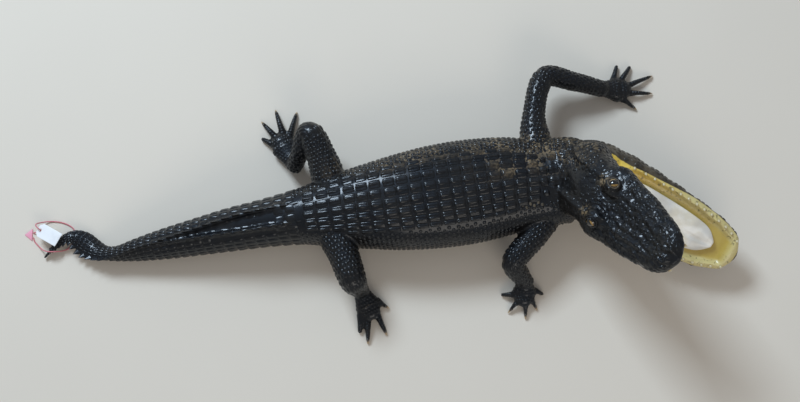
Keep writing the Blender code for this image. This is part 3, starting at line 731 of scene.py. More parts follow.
for side in (1, -1):
    from_eye = np.linalg.norm(found - upper.at(73.0, side * 21, 30), axis=1)
    inner = smooth(-(hy - side * 23) * side + (75 - hx) * 0.6, -2, 8) * top
    push += inner * (0.9 * bell(from_eye - 17.5, 1.3) + 0.6 * bell(from_eye - 21.5, 1.2)
                     - 0.6 * bell(from_eye - 19.5, 1.1))
    near = found - nostril_at(side)
    away_from = np.sqrt(((near @ upper.x) / 1.5) ** 2 + ((near @ upper.y) / 0.9) ** 2
                        + (near @ upper.z / 2) ** 2)
    push += 0.9 * bell(away_from - 4.2, 1.6) * on_upper - 3.0 * bell(away_from, 2.4) * on_upper
folds = window(found[:, 0], 204, 244, 6) * smooth(20 - hx, 0, 20) * (found[:, 1] < 76)
push += folds * 0.55 * np.sin(found[:, 0] / 1.7 + found[:, 1] / 14)
found += away * push[:, None]
for side in (1, -1):
    outward = eye_way(side)
    long_way = unit(upper.x - outward * (upper.x @ outward))
    near = found - eye_at(side)
    far = np.linalg.norm(near, axis=1)
    turned = unit(near)
    angle = np.sqrt((np.arccos(np.clip(turned @ outward, -1, 1)) ** 2)
                    * (1 - 0.38 * (turned @ long_way) ** 2 / np.maximum(
                        1e-6, 1 - (turned @ outward) ** 2)))
    target = np.where(angle < 0.80, 7.0, EYE_RADIUS + 0.1 + 1.4 * smooth(angle, 0.80, 1.0))
    hold = (1 - smooth(angle, 1.1, 1.45)) * (far < 16)
    found += turned * ((target - far) * hold)[:, None]
found[:, 2] = np.maximum(found[:, 2], 0.0)
move_points(skin, place(found))
fewer = skin.modifiers.new("fewer", "DECIMATE")
fewer.ratio = 196000 / (2 * len(skin.data.polygons))
apply(skin, fewer)
print("skin", len(skin.data.polygons), "triangles")

# %% [markdown]
# ## Laying scales
# Scales are arranged along and around a body, not in x, y and z.  A `Wrap` is that pair of
# directions for one part: `along` in millimetres from its root, and `around` as a share of its
# girth, 0 over the back and 0.5 under the belly.  It drops each of its points on the hide, so a
# scale laid on a wrap lies on the hide, whatever the smoothing has done to it.

# %% The wrap of one part
depsgraph = bpy.context.evaluated_depsgraph_get()
hide_tree = BVHTree.FromObject(skin, depsgraph)
COLUMNS = 96


class Wrap:
    def __init__(self, rings, island, step=1.6, outside=3.0, reach=7.0):
        closed = np.concatenate([rings, rings[:, :1]], axis=1)
        arcs = np.linalg.norm(np.diff(closed, axis=1), axis=2)
        arcs = np.concatenate([np.zeros((len(rings), 1)), np.cumsum(arcs, axis=1)], axis=1)
        even = np.array([[np.interp(np.linspace(0, a[-1], COLUMNS, endpoint=False), a, ring[:, i])
                          for i in range(3)] for a, ring in zip(arcs, closed)]).transpose(0, 2, 1)
        middles = even.mean(axis=1)
        run = np.append(0, np.cumsum(np.linalg.norm(np.diff(middles, axis=0), axis=1)))
        self.length = run[-1]
        self.rows = max(6, int(self.length / step))
        at = np.linspace(0, self.length, self.rows)
        index = np.interp(at, run, np.arange(len(run)))
        i0 = np.minimum(index.astype(int), len(run) - 2)
        t = (index - i0)[:, None, None]
        grid = even[i0] * (1 - t) + even[i0 + 1] * t
        self.girth = np.linalg.norm(grid - np.roll(grid, 1, axis=1), axis=2).sum(axis=1)
        self.middle = grid.mean(axis=1)
        out = unit(np.cross(np.roll(grid, -1, axis=1) - np.roll(grid, 1, axis=1),
                            np.gradient(grid, axis=0)))
        flip = np.sign(((grid - self.middle[:, None]) * out).sum(axis=2).mean())
        out = out * flip
        spots, ways, good = grid.copy(), out.copy(), np.zeros(grid.shape[:2])
        world = place(grid)
        for r in range(self.rows):
            for c in range(COLUMNS):
                way = Vector(out[r, c])
                spot, normal, _, _ = hide_tree.ray_cast(Vector(world[r, c]) + way * outside * MM,
                                                        -way, (outside + reach) * MM)
                if spot is not None and normal.dot(way) > 0.25:
                    spots[r, c] = spot
                    ways[r, c] = normal
                    good[r, c] = 1
                else:
                    spots[r, c] = world[r, c]
        for _ in range(2):
            soft = ways + np.roll(ways, 1, axis=1) + np.roll(ways, -1, axis=1)
            soft[1:] += ways[:-1]
            soft[:-1] += ways[1:]
            ways = unit(soft)
        self.spots, self.ways, self.good, self.island = spots, ways, good, island

    def sample(self, table, along, around):
        r = np.clip(along / self.length * (self.rows - 1), 0, self.rows - 1.001)
        c = (around % 1.0) * COLUMNS
        r0, c0 = r.astype(int), c.astype(int) % COLUMNS
        fr, fc = r - r0, c - np.floor(c)
        if table.ndim == 3:
            fr, fc = fr[..., None], fc[..., None]
        c1 = (c0 + 1) % COLUMNS
        return (table[r0, c0] * (1 - fr) * (1 - fc) + table[r0, c1] * (1 - fr) * fc
                + table[r0 + 1, c0] * fr * (1 - fc) + table[r0 + 1, c1] * fr * fc)

    def spots_mm(self, along, around):
        return self.sample(self.spots, along, around % 1.0) / MM + MIDDLE

    def girth_at(self, along):
        return np.interp(along, np.linspace(0, self.length, self.rows), self.girth)

    def bake_place(self, along, around):
        """Where a root falls on the unwrap of the hide: one rectangle for each part."""
        u, v, w, h = self.island
        return np.stack([u + w * np.clip(along / self.length, 0, 1), v + h * (around % 1.0)], -1)


ISLANDS = {"trunk": (0.01, 0.60, 0.98, 0.38), "cranium": (0.01, 0.40, 0.30, 0.18),
           "mandible": (0.33, 0.40, 0.30, 0.18), "jowl": (0.65, 0.40, 0.30, 0.18)}
REACHES = {"cranium": dict(outside=15.0, reach=8.0), "jowl": dict(outside=5.0)}
small = [name for name in parts if name not in ISLANDS]
for i, name in enumerate(small):
    ISLANDS[name] = (0.01 + 0.19 * (i % 5), 0.01 + 0.055 * (i // 5), 0.17, 0.045)
wraps = {name: Wrap(rings, ISLANDS[name], **REACHES.get(name, {}))
         for name, rings in parts.items()}
trunk = wraps["trunk"]
print("wraps", len(wraps), "trunk length", round(trunk.length), "mm")

# %% [markdown]
# One scale is a small grid bent to a rounded rectangle, with a height for every point: a dome
# for a flank scale, a flat table for a belly scale, a tent with a sharp keel for a back scute.
# Its edge dips under the hide, so its underside never shows.  A whole coat is one such tile
# times thousands of places, worked out together and written as one mesh.

# %% One tile, and a coat made of many
def tile(n, corner):
    t = np.linspace(-1, 1, n)
    p, q = np.meshgrid(t, t, indexing="ij")
    x, y = p * np.sqrt(1 - corner * q * q / 2), q * np.sqrt(1 - corner * p * p / 2)
    index = np.arange(n * n).reshape(n, n)
    quads = np.stack([index[:-1, :-1], index[:-1, 1:], index[1:, 1:], index[1:, :-1]], -1)
    return x.ravel(), y.ravel(), p.ravel(), q.ravel(), quads.reshape(-1, 4)


def dome(p, q, n):
    return (1 - abs(p) ** n) * (1 - abs(q) ** n)


taken = []


class Coat:
    """Scales of one kind.  `beside=True` leaves out those that would fall on earlier ones."""

    def __init__(self, name, beside=False):
        self.tree = None
        if beside and taken:
            spots = np.concatenate(taken)
            self.tree = KDTree(len(spots))
            for i, spot in enumerate(spots):
                self.tree.insert(spot, i)
            self.tree.balance()
        self.name, self.verts, self.faces, self.uvs = name, [], [], []
        self.tone, self.rim, self.count = [], [], 0

    def add(self, spots, faces, uvs, tone, rim):
        self.verts.append(spots.reshape(-1, 3))
        self.faces.append(faces + self.count)
        self.uvs.append(uvs.reshape(-1, 2))
        self.tone.append(np.broadcast_to(tone, spots.shape[:-1]).ravel())
        self.rim.append(np.broadcast_to(rim, spots.shape[:-1]).ravel())
        self.count += spots.reshape(-1, 3).shape[0]

    def lay(self, wrap, along, around, long, wide, high, keel=0.0, n=6, corner=0.5, flat=2.0,
            turn=0.0, lap=0.15):
        """Scales with their middles at (along, around): half sizes and heights in millimetres."""
        along, around = (np.ravel(v) for v in np.broadcast_arrays(along, around))
        long, wide, high, keel, turn = (np.broadcast_to(v, along.shape)[:, None]
                                        for v in (long, wide, high, keel, turn))
        x, y, p, q, quads = tile(n, corner)
        c, s = np.cos(turn), np.sin(turn)
        dx, dy = long * x * c - wide * y * s, long * x * s + wide * y * c
        a, w = along[:, None] + dx, around[:, None] + dy / wrap.girth_at(along)[:, None]
        good = wrap.sample(wrap.good, a, w).min(axis=1) > 0.97
        good &= (a.min(axis=1) > 0.5) & (a.max(axis=1) < wrap.length - 0.5)
        if self.tree is not None:
            middles = wrap.sample(wrap.spots, along, around)
            near = np.array([self.tree.find(spot)[2] for spot in middles]) / MM
            good &= near > 0.62 * np.minimum(long, wide)[:, 0]
        body = dome(p, q, flat) ** 0.8
        ridge = np.exp(-(y / 0.16) ** 2) * (1 - abs(p) ** 6) * (0.55 + 0.45 * p)
        lift = high * (body * (1 + lap * p)) + keel * ridge
        edge = np.maximum(abs(p), abs(q)) > 0.999
        lift = np.where(edge[None], -0.35, lift)
        a, w, lift, along, around = a[good], w[good], lift[good], along[good], around[good]
        if not len(a):
            return
        spots = wrap.sample(wrap.spots, a, w) + unit(wrap.sample(wrap.ways, a, w)) \
            * (lift * MM)[..., None]
        spots[..., 2] = np.maximum(spots[..., 2], 0.0)
        uv = wrap.bake_place(along, around)[:, None] + 0.0015 * np.stack([p, q], -1)[None]
        taken.append(spots.reshape(-1, 3))
        step = (np.arange(len(along)) * n * n)[:, None, None]
        self.add(spots, (quads[None] + step).reshape(-1, 4), uv,
                 rng.random(len(along))[:, None], (np.maximum(abs(x), abs(y)) ** 2)[None])

    def make(self, material, slot="hide"):
        verts, faces = np.concatenate(self.verts), np.concatenate(self.faces)
        piece = new_mesh(self.name, verts, faces.tolist())
        uv = piece.data.uv_layers.new(name="OFBake")
        uv.data.foreach_set("uv", np.concatenate(self.uvs)[faces.ravel()].ravel())
        attribute(piece, "tone", np.concatenate(self.tone))
        attribute(piece, "rim", np.concatenate(self.rim))
        mark(piece)
        piece.data.materials.append(material)
        finish(piece, slot)
        print(self.name, len(faces) * 2, "triangles")
        return piece


def rows_of(wrap, start, end, pitch, width, from_around, to_around, jitter=0.12, brick=True):
    """Middles of scales in rows across a wrap; the number in a row follows the girth."""
    along, around, long, wide = [], [], [], []
    a, k = start, 0
    while a < end:
        p = pitch(a) if callable(pitch) else pitch
        span = (to_around - from_around) * float(wrap.girth_at(a))
        w = width(a) if callable(width) else width
        number = max(1, int(round(span / w)))
        for i in range(number):
            share = (i + 0.5 + (0.25 if brick and k % 2 else -0.25 if brick else 0)) / number
            along.append(a + rng.normal() * jitter * p * 0.5)
            around.append(from_around + (to_around - from_around) * share
                          + rng.normal() * jitter * 0.3 * (to_around - from_around) / number)
            long.append(p / 2)
            wide.append(span / number / 2)
        a += p
        k += 1
    return (np.array(v) for v in (along, around, long, wide))


def only(keep, *values):
    return (v[keep] for v in values)


# %% [markdown]
# ## Markings shared by the hide and its scales
# A taxidermist paints and lacquers the dry hide, which is almost black on top, with tan and
# grey left on the neck, the flanks and the underside.  Those are numbers per point, from the
# same rule for the hide and for every scale, so that the two always agree.

# %% One rule for the markings
def mark(piece):
    spots, away = points_of(piece), normals_of(piece)
    mm = spots / MM + MIDDLE
    hx, hy, hz = upper.of(mm)
    lx, ly, lz = lower.of(mm)
    left = (mm[:, 1] - column(sorted(SPINE), mm[:, 0])) / 45
    blotch = 0.5 + 0.25 * (np.sin(mm[:, 0] / 7.3 + mm[:, 1] / 5.1) + np.sin(mm[:, 1] / 6.7
                           - mm[:, 0] / 11 + mm[:, 2] / 8))
    speckle = window(mm[:, 0], 120, 262, 22) * window(left, 0.15, 1.5, 0.25) * blotch * (hx < 40)
    speckle = np.maximum(speckle, 0.8 * window(mm[:, 0], -60, 120, 30) * window(left, 0.8, 1.4, 0.2)
                         * blotch)
    for side in (1, -1):
        lid = np.linalg.norm(mm - upper.at(60.0, side * 21, 38), axis=1)
        speckle = np.maximum(speckle, 1.6 * bell(lid, 6.5))
    pale = smooth(-away[:, 2], 0.1, 0.8) * 0.8
    jaw = window(lx, -10, 215, 8) * smooth(-lz, -6, 6) * (lz > -60) * (hz < -2)
    attribute(piece, "speckle", np.clip(speckle, 0, 1))
    attribute(piece, "pale", np.clip(np.maximum(pale, jaw * 0.7), 0, 1))
    return mm, (hx, hy, hz), (lx, ly, lz), away


# %% [markdown]
# The lacquer is what makes the mount look as it does: a dark, slightly uneven hide under a thin
# glossy coat.  `hide_finish` builds it once.  With `scales=True` it also darkens each scale's
# rim and gives each scale a tone of its own, which a plain hide between the scales doesn't need.

# %% The lacquered hide
PAINTED_WINDOW_BLUE = rgb(0.62, 0.78, 1.0)        # blue of the cool window light, painted into the tint of the lacquer's real reflections


def hide_finish(name, scales=True):
    paint = Paint(name)
    cloud = paint.noise(38, 4)
    fine = paint.noise(420, 3, 0.6)
    base = paint.mix(paint.band(cloud, 0.35, 0.7), rgb(0.003, 0.003, 0.0036),
                     rgb(0.0085, 0.007, 0.0055))
    spots = paint.band(paint.noise(330, 2, 0.4), 0.46, 0.60)
    tan = paint.mix(paint.noise(150), rgb(0.36, 0.25, 0.13), rgb(0.20, 0.155, 0.10))
    if scales:
        one_scale = paint.band(paint.attribute("tone"), 0.62, 0.72)
        spots = paint.math("MULTIPLY", one_scale, paint.band(spots, 0.0, 1.0, 0.35, 1.0))
    spots = paint.math("MULTIPLY", spots, 0.85)
    base = paint.mix(paint.math("MULTIPLY", spots, paint.attribute("speckle"), True), base, tan)
    belly = paint.mix(paint.noise(70, 4), rgb(0.20, 0.155, 0.10), rgb(0.075, 0.062, 0.045))
    base = paint.mix(paint.math("MULTIPLY", paint.attribute("pale"),
                                paint.band(paint.noise(60, 5), 0.30, 0.62, 0.35, 1.0), True),
                     base, belly)
    if scales:
        base = paint.mix(paint.band(paint.attribute("tone"), 0.2, 1.0, 0.0, 0.35), base,
                         rgb(0.011, 0.009, 0.007))
        base = paint.mix(paint.band(paint.attribute("rim"), 0.55, 1.0, 0.0, 0.8), base,
                         rgb(0.002, 0.002, 0.002))
    lines = paint.cell_edges(560)
    bump = paint.bump(paint.band(lines, 0.0, 0.10), 0.00016, 0.5)
    bump = paint.bump(fine, 0.00030, 0.55, bump)
    gloss = dict(Roughness=paint.band(paint.noise(55, 4), 0.3, 0.7, 0.30, 0.50), Normal=bump,
                 Coat_Weight=0.58, Coat_Roughness=0.13, Coat_IOR=1.42)
    return paint, base, gloss


# %% The skin's own finish: hide outside, painted mouth inside
mm, (hx, hy, hz), (lx, ly, lz), away = mark(skin)
halves = column(MANDIBLE, lx)
bare = np.interp(lx, [10, 40, 80, 125], [9.5, 9.5, 6.0, 1.0])   # hide on top of the rim, mm
in_tray = window(lx, 12, 205, 3) * (lz > -16) * (lz < 14) * (abs(ly) < 54) * np.maximum(
    smooth(away @ lower.z, 0.10, 0.45),
    smooth(halves - 7 - abs(ly), -1.5, 1.5) * window(lx, 0, 194, 4)
    * np.maximum(lx < 150, smooth(away @ lower.z, -0.35, -0.05)
                 * smooth(-(away @ lower.x), -0.5, -0.2))) \
    * smooth(halves - bare - abs(ly), -1, 1)
rim = in_tray * np.maximum(smooth(abs(ly) - (halves - 12.5 - bare), -2, 2), smooth(lx, 190, 198))
palate = window(hx, 6, 186, 5) * smooth(column(CRANIUM, hx) - 3 - abs(hy), -1.5, 1.5) \
    * smooth(-(away @ upper.z), 0.2, 0.6) * (hz < 12) * (hz > -10)
ahead_of_hinge = (mm - HINGE) @ between
throat = smooth(ahead_of_hinge, 2, 14) * (hz < 0) * (lz > 0) * smooth(away @ between, 0.0, 0.6) \
    * (abs(ly) < 46)
gusset = window(lx, -10, 30, 4) * window(abs(ly), 24, 41, 2) * window(lz, -2, 26, 3) * (hz < 0) \
    * smooth(away @ (lower.z + lower.x * 0.6), 0.45, 0.75)
throat = np.maximum(throat, gusset)
mouth = np.maximum(np.maximum(in_tray, palate), throat)
edges = np.empty(len(skin.data.edges) * 2, np.int64)
skin.data.edges.foreach_get("vertices", edges)
first, second = edges.reshape(-1, 2).T
neighbours = np.bincount(edges, minlength=len(mm))


def spread(values, rounds=4):
    """Evens a value out over the mesh, so that a painted border runs smoothly."""
    for _ in range(rounds):
        total = np.bincount(first, values[second], len(mm)) + np.bincount(second, values[first],
                                                                          len(mm))
        values = 0.4 * values + 0.6 * total / neighbours
    return values


mouth = spread(mouth)
corner = np.clip(1 - lx / 120, 0, 1)
attribute(skin, "mouth", mouth)
attribute(skin, "rim", spread(np.maximum(rim, throat * smooth(abs(ly), 22, 34)), 2))
attribute(skin, "corner", corner)
attribute(skin, "palate", palate)
paint, base, gloss = hide_finish("lacquered_hide", scales=False)
flesh = paint.mix(paint.noise(55, 4), rgb(0.42, 0.28, 0.035), rgb(0.60, 0.46, 0.12))
flesh = paint.mix(paint.attribute("palate"), flesh, rgb(0.42, 0.31, 0.17))
lip = paint.mix(paint.attribute("corner"), rgb(0.66, 0.56, 0.25), rgb(0.95, 0.66, 0.07))
lip = paint.mix(paint.band(paint.noise(240, 3), 0.56, 0.68, 0.0, 0.7), lip, rgb(0.10, 0.08, 0.04))
flesh = paint.mix(paint.attribute("rim"), flesh, lip)
base = paint.mix(paint.band(paint.attribute("mouth"), 0.42, 0.58), base, flesh)
painted = KDTree(int((mouth > 0.45).sum()))
for i, spot in enumerate(place(mm[mouth > 0.45])):
    painted.insert(spot, i)
painted.balance()


def off_the_paint(mm):
    """Scales stop where the painted mouth begins."""
    return np.array([painted.find(spot)[2] > 2.2 * MM for spot in place(mm)])


inside = paint.attribute("mouth")
# Outside the mouth the hide's reflections carry the painted window blue; inside they stay white.
paint.onto(skin, Base_Color=base, Specular_Tint=paint.mix(inside, PAINTED_WINDOW_BLUE, rgb(1.0, 1.0, 1.0)),
           Specular_IOR_Level=paint.band(inside, 0.3, 0.7, 0.19, 0.4), **gloss)
FLESH = [n for n in frame["nodes"] if n in (
    "head", "lower_jaw", "neck", "trunk_front", "trunk_rear", "tail_base", "tail_middle",
    "tail_rear", "tail_tip") or n.split("_")[0] in ("upper", "forearm", "hand", "thigh", "shank",
                                                    "foot")]
finish(skin, "hide", *FLESH)
print("skin stands for", len(FLESH), "solids")
paint, base, gloss = hide_finish("lacquered_scales")
# The scales' reflections carry the painted window blue.
scale_finish = paint.done(Base_Color=base, Specular_Tint=PAINTED_WINDOW_BLUE, Specular_IOR_Level=0.19, **gloss)

# %% [markdown]
# ## The back
# Down the back run eight rows of square bony scutes, one cross row for each vertebra, each with
# a keel.  The middle four rows are the largest.  Behind the hips the cross rows go on as whorls
# that ring the tail.  The rows keep their number, so the scutes narrow as the body does; only
# the outermost row stops short of both ends.

# %% Back scutes and nape shields
def along_at(x):
    """Distance along the trunk wrap for a place x of the tables."""
    return float(np.interp(-x, -trunk.middle[:, 0], np.linspace(0, trunk.length, trunk.rows)))


SHOULDER, HIP = along_at(196), along_at(-100)
back = Coat("back_scutes")
PITCH = 16.2
cross_rows = np.arange(SHOULDER + 10, HIP, PITCH)
for k, a in enumerate(cross_rows):
    widths = np.array([11.6, 11.2, 9.4, 5.6])
    widths = widths * (0.82 + 0.18 * window(a, SHOULDER + 20, HIP - 20, 30)) * (
        float(trunk.girth_at(a)) / 350) ** 0.6
    middle = 0.0
    for j, w in enumerate(widths):
        if j == 3 and (k < 2 or k > len(cross_rows) - 3):
            continue
        for side in (1, -1):
            back.lay(trunk, a + rng.normal() * 0.5, side * (middle + w / 2 + 0.2)
                     / float(trunk.girth_at(a)) * 1.16, PITCH / 2 * 0.97, w / 2 * 1.13,
                     0.8 + 0.2 * rng.random(), keel=[2.3, 2.6, 2.3, 1.4][j], n=13, corner=0.35,
                     flat=5, lap=0.25)
        middle += w
nape = along_at(214)
for a, w, size in ((nape - 13, 0.020, 0.9), (nape - 13, 0.062, 0.8), (nape, 0.024, 1.15),
                   (nape, 0.078, 0.95), (nape + 14, 0.022, 1.0), (nape + 13, 0.066, 0.7)):
    for side in (1, -1):
        back.lay(trunk, a, side * w, 6.6 * size, 6.4 * size, 1.5, keel=2.4, n=13, corner=0.7,
                 flat=3)
back.make(scale_finish)

# %% [markdown]
# ## Flanks, neck and belly
# Beside the scutes the scales are small and round with soft hide between them, so the flank can
# stretch.  Some of them carry a low keel.  The belly is paved with smooth flat rectangles in
# straight rows, which slide over mud.

# %% Flank beads and belly plates
flank = Coat("flank_scales", beside=True)
edge = 0.093
for side in (1, -1):
    a, w, long, wide = rows_of(trunk, SHOULDER + 2, HIP + 6, 5.6, 6.4, edge, 0.36)
    size = 0.78 + 0.3 * rng.random(len(a))
    flank.lay(trunk, a, side * w, long * size * 1.05, wide * size, 0.75 * size + 0.15,
              keel=0.5 * (rng.random(len(a)) > 0.6), n=6, corner=0.85, flat=2.4)
neck = Coat("neck_scales", beside=True)
a, w, long, wide = rows_of(trunk, 3, SHOULDER + 2, 4.6, 5.0, -0.36, 0.36)
clear = (abs(w) > 0.105) | (abs(a - nape) > 21)
clear &= off_the_paint(trunk.spots_mm(a, w))
a, w, long, wide = only(clear, a, w, long, wide)
size = 0.75 + 0.35 * rng.random(len(a))
neck.lay(trunk, a, w, long * size, wide * size, 0.7 * size + 0.1, n=6, corner=0.9)
for side in (1, -1):
    a, w, long, wide = rows_of(trunk, SHOULDER + 2, SHOULDER + 30, 5.0, 5.4, 0.115, edge)
    neck.lay(trunk, a, side * w, long * 0.85, wide * 0.85, 0.7, n=6, corner=0.9)
belly = Coat("belly_plates")
a, w, long, wide = rows_of(trunk, 4, HIP + 4, 8.4, 8.8, 0.36, 0.64, jitter=0.02, brick=False)
belly.lay(trunk, a, w, long * 0.95, wide * 0.95, 0.55, n=6, corner=0.25, flat=6)
for coat in (flank, neck, belly):
    coat.make(scale_finish)

# %% [markdown]
# ## The tail
# Each whorl of the tail is a ring of long rectangles.  Two rows on its back stand up as a
# toothed crest, come together two thirds of the way along, and go on as one row.  Every tooth
# of the crest is a thin blade that leans back over the next.

# %% Tail whorls and the toothed crest
tail = Coat("tail_whorls")
tail_end = along_at(-426)
spots, a = [], HIP + 3
while a < tail_end - 4:
    girth = float(trunk.girth_at(a))
    spots.append((a, girth))
    a += max(3.4, min(14.5, 3.0 + girth * 0.055))
whorls = [(a, b - a, girth) for (a, girth), (b, _) in zip(spots, spots[1:])]
for a, pitch, girth in whorls:
    around = girth * (1 if girth < 30 else 0.90)
    number = max(5, int(round(around / max(3.4, pitch * 0.62))))
    free = 0.055 if girth > 120 else 0.03
    w = free + (1 - 2 * free) * (np.arange(number) + 0.5) / number
    under = abs(w - 0.5) < 0.13
    if girth > 78:
        tail.lay(trunk, a + pitch / 2, np.array((-0.5, 0.5)) * free, pitch * 0.47,
                 girth * free / 2 * 0.9, 0.6, keel=0.5, n=7, corner=0.35, flat=5, lap=0.4)
    tail.lay(trunk, a + pitch / 2, w, pitch * 0.485, girth * (1 - 2 * free) / number / 2 * 0.95,
             np.where(under, 0.5, 0.85), keel=np.where(under, 0, 0.45), n=7, corner=0.35, flat=5,
             lap=0.4)
tail.make(scale_finish)

crest = Coat("tail_crest")
blade_p, blade_q = np.meshgrid(np.linspace(0, 1, 9), np.linspace(0, 2 * np.pi, 11)[:-1],
                               indexing="ij")
blade_faces = ring_faces(np.arange(blade_p.size).reshape(blade_p.shape))
for side in (1, -1):
    line, ahead, across, over, size, rise = crest_line(side, 24)
    run = np.append(0, np.cumsum(np.linalg.norm(np.diff(line, axis=0), axis=1)))
    at = 2.0
    while at < run[-1] - 4:
        i = int(np.searchsorted(run, at))
        if side == -1 and line[i][0] < -280:
            break
        s = size[i]
        curl = smooth(-line[i][0], 335, 352) * (1 - smooth(-line[i][0], 398, 412))
        high = s * (0.85 + 0.65 * rise[i] + 1.1 * curl)
        pitch = max(4.0, 3.4 * s * (1 if line[i][0] > -285 else 0.8) * (1 + 0.4 * curl))
        long, thick = pitch * 0.60, 0.40 * s
        h = blade_p
        base = line[i] - over[i] * s * 0.55
        shape_x = long * np.cos(blade_q) * (1 - h ** 1.3) + pitch * 0.52 * h ** 1.6
        shape_y = thick * np.sin(blade_q) * (1 - h) ** 0.8
        points = (base + shape_x[..., None] * ahead[i] + shape_y[..., None] * across[i]
                  + (h * (high + s * 0.55))[..., None] * over[i])
        where = trunk.bake_place(along_at(line[i][0]), side * 0.02)
        uv = where + 0.0015 * np.stack([h * 2 - 1, np.cos(blade_q)], -1)
        crest.add(place(points), blade_faces, uv, rng.random(), 1 - h)
        at += pitch
crest.make(scale_finish)

# %% [markdown]
# ## Legs, feet and toes
# The legs carry small overlapping scales, larger on the outer side of the upper arm and thigh.
# Toes have one row of broad plates over their backs, like a row of fingernails, and grains on
# their sides.

# %% Scales of the limbs and toes
limbs = Coat("limb_scales", beside=True)
for name in LIMBS:
    wrap = wraps[name]
    a, w, long, wide = rows_of(wrap, 3, wrap.length - 4, 5.2, 5.6, 0.0, 1.0, jitter=0.25)
    size = 0.80 + 0.28 * rng.random(len(a))
    outer = np.minimum(w % 1.0, 1 - w % 1.0) < 0.28
    limbs.lay(wrap, a, w, long * size * 1.1, wide * size, 0.55 + 0.35 * outer,
              keel=0.55 * outer * (rng.random(len(a)) > 0.45), n=6, corner=0.8, flat=2.6, lap=0.5)
feet = Coat("foot_scales", beside=True)
for name in FEET:
    wrap = wraps[name]
    a, w, long, wide = rows_of(wrap, 2, wrap.length - 3, 4.2, 4.4, 0.0, 1.0)
    feet.lay(wrap, a, w, long * 0.95, wide * 0.92, 0.55, n=6, corner=0.85)
    for i, (base, tip) in enumerate(FEET[name]["digits"]):
        wrap = wraps[f"{name}_digit_{i}"]
        over = np.arange(9.0, wrap.length - 1.6, 3.5)
        wide = wrap.girth_at(over) * 0.165
        feet.lay(wrap, over, 0.0, 1.72, wide, 0.62, n=7, corner=0.5, flat=3, lap=0.5)
        for side in (1, -1):
            grain = np.arange(8.0, wrap.length - 2.0, 2.6)
            feet.lay(wrap, grain, side * 0.25, 1.2, wrap.girth_at(grain) * 0.065, 0.35, n=5,
                     corner=0.9)
            feet.lay(wrap, grain + 1.3, side * 0.385, 1.2, wrap.girth_at(grain) * 0.06, 0.3, n=5,
                     corner=0.9)
limbs.make(scale_finish)
feet.make(scale_finish)

# %% [markdown]
# ## The head
# Over the skull the scales are so thin that they read as irregular lumps and creases in the
# lacquer.  The sides of both jaws have larger many-cornered scales with a pit in each; here they
# are laid as plain rounded tiles without the pits.  Small grains cover the cheeks and the throat.
# The eyes and the nostrils are kept clear.

# %% Head scales
def clear_of_face(wrap, along, around):
    mm = wrap.spots_mm(along, around)
    keep = np.ones(len(along), bool)
    for side in (1, -1):
        keep &= np.linalg.norm(mm - eye_at(side), axis=1) > 11.2
        keep &= np.linalg.norm(mm - nostril_at(side), axis=1) > 5.4
    return keep & off_the_paint(mm)


def out_of_the_gape(wrap, along, around):
    """True but between the open jaws."""
    mm = wrap.spots_mm(along, around)
    return ~((lower.of(mm)[2] > -4) & (upper.of(mm)[2] < 4) & (lower.of(mm)[0] > 4))


head = Coat("head_scales", beside=True)
cranium = wraps["cranium"]
for start, end, pitch, high in ((20, 112, 6.2, 0.42), (112, cranium.length - 6, 5.0, 0.50)):
    a, w, long, wide = rows_of(cranium, start, end, pitch, pitch * 1.05, -0.22, 0.22, jitter=0.6)
    keep = clear_of_face(cranium, a, w)
    a, w, long, wide = only(keep, a, w, long, wide)
    size = 0.55 + 0.6 * rng.random(len(a))
    head.lay(cranium, a, w, long * size * 1.25, wide * size * 0.95, high * size * rng.random(
        len(a)) * 2, n=7, corner=0.7, flat=2.6, turn=rng.normal(0, 0.45, len(a)))
for side in (1, -1):
    a, w, long, wide = rows_of(cranium, 34, cranium.length - 8, 6.4, 5.6, 0.215, 0.295, jitter=0.3)
    head.lay(cranium, a, side * w, long * 0.95, wide * 0.9, 0.6, n=7, corner=0.5, flat=3)
mandible = wraps["mandible"]
a, w, long, wide = rows_of(mandible, 28, mandible.length - 6, 6.8, 6.2, 0.20, 0.80, jitter=0.22)
keep = clear_of_face(mandible, a, w)
a, w, long, wide = only(keep, a, w, long, wide)
head.lay(mandible, a, w, long * 0.95, wide * 0.92, np.where(abs(w - 0.5) > 0.17, 0.85, 0.5), n=6,
         corner=0.5, flat=3.5)
cheek = Coat("cheek_grains", beside=True)
jowl = wraps["jowl"]
a, w, long, wide = rows_of(jowl, 6, jowl.length - 14, 4.2, 4.3, 0.0, 1.0, jitter=0.35)
keep = out_of_the_gape(jowl, a, w) & off_the_paint(jowl.spots_mm(a, w))
a, w, long, wide = only(keep, a, w, long, wide)
cheek.lay(jowl, a, w, long * 0.9, wide * 0.9, 0.5, n=5, corner=0.9)
for wrap in (cranium, mandible):
    a, w, long, wide = rows_of(wrap, 2, 30, 4.2, 4.3, 0.0, 1.0, jitter=0.35)
    keep = out_of_the_gape(wrap, a, w) & clear_of_face(wrap, a, w)
    a, w, long, wide = only(keep, a, w, long, wide)
    cheek.lay(wrap, a, w, long * 0.9, wide * 0.9, 0.5, n=5, corner=0.9)
head.make(scale_finish)
cheek.make(scale_finish)

# %% [markdown]
# ## Eyes
# Taxidermy eyes are glass domes painted on the back.  The ball has an iris and an upright slit
# that are worked out for each point from the direction the eye looks in.  Two lids of hide
# close over it; without them the eye would look like a bead stuck on.

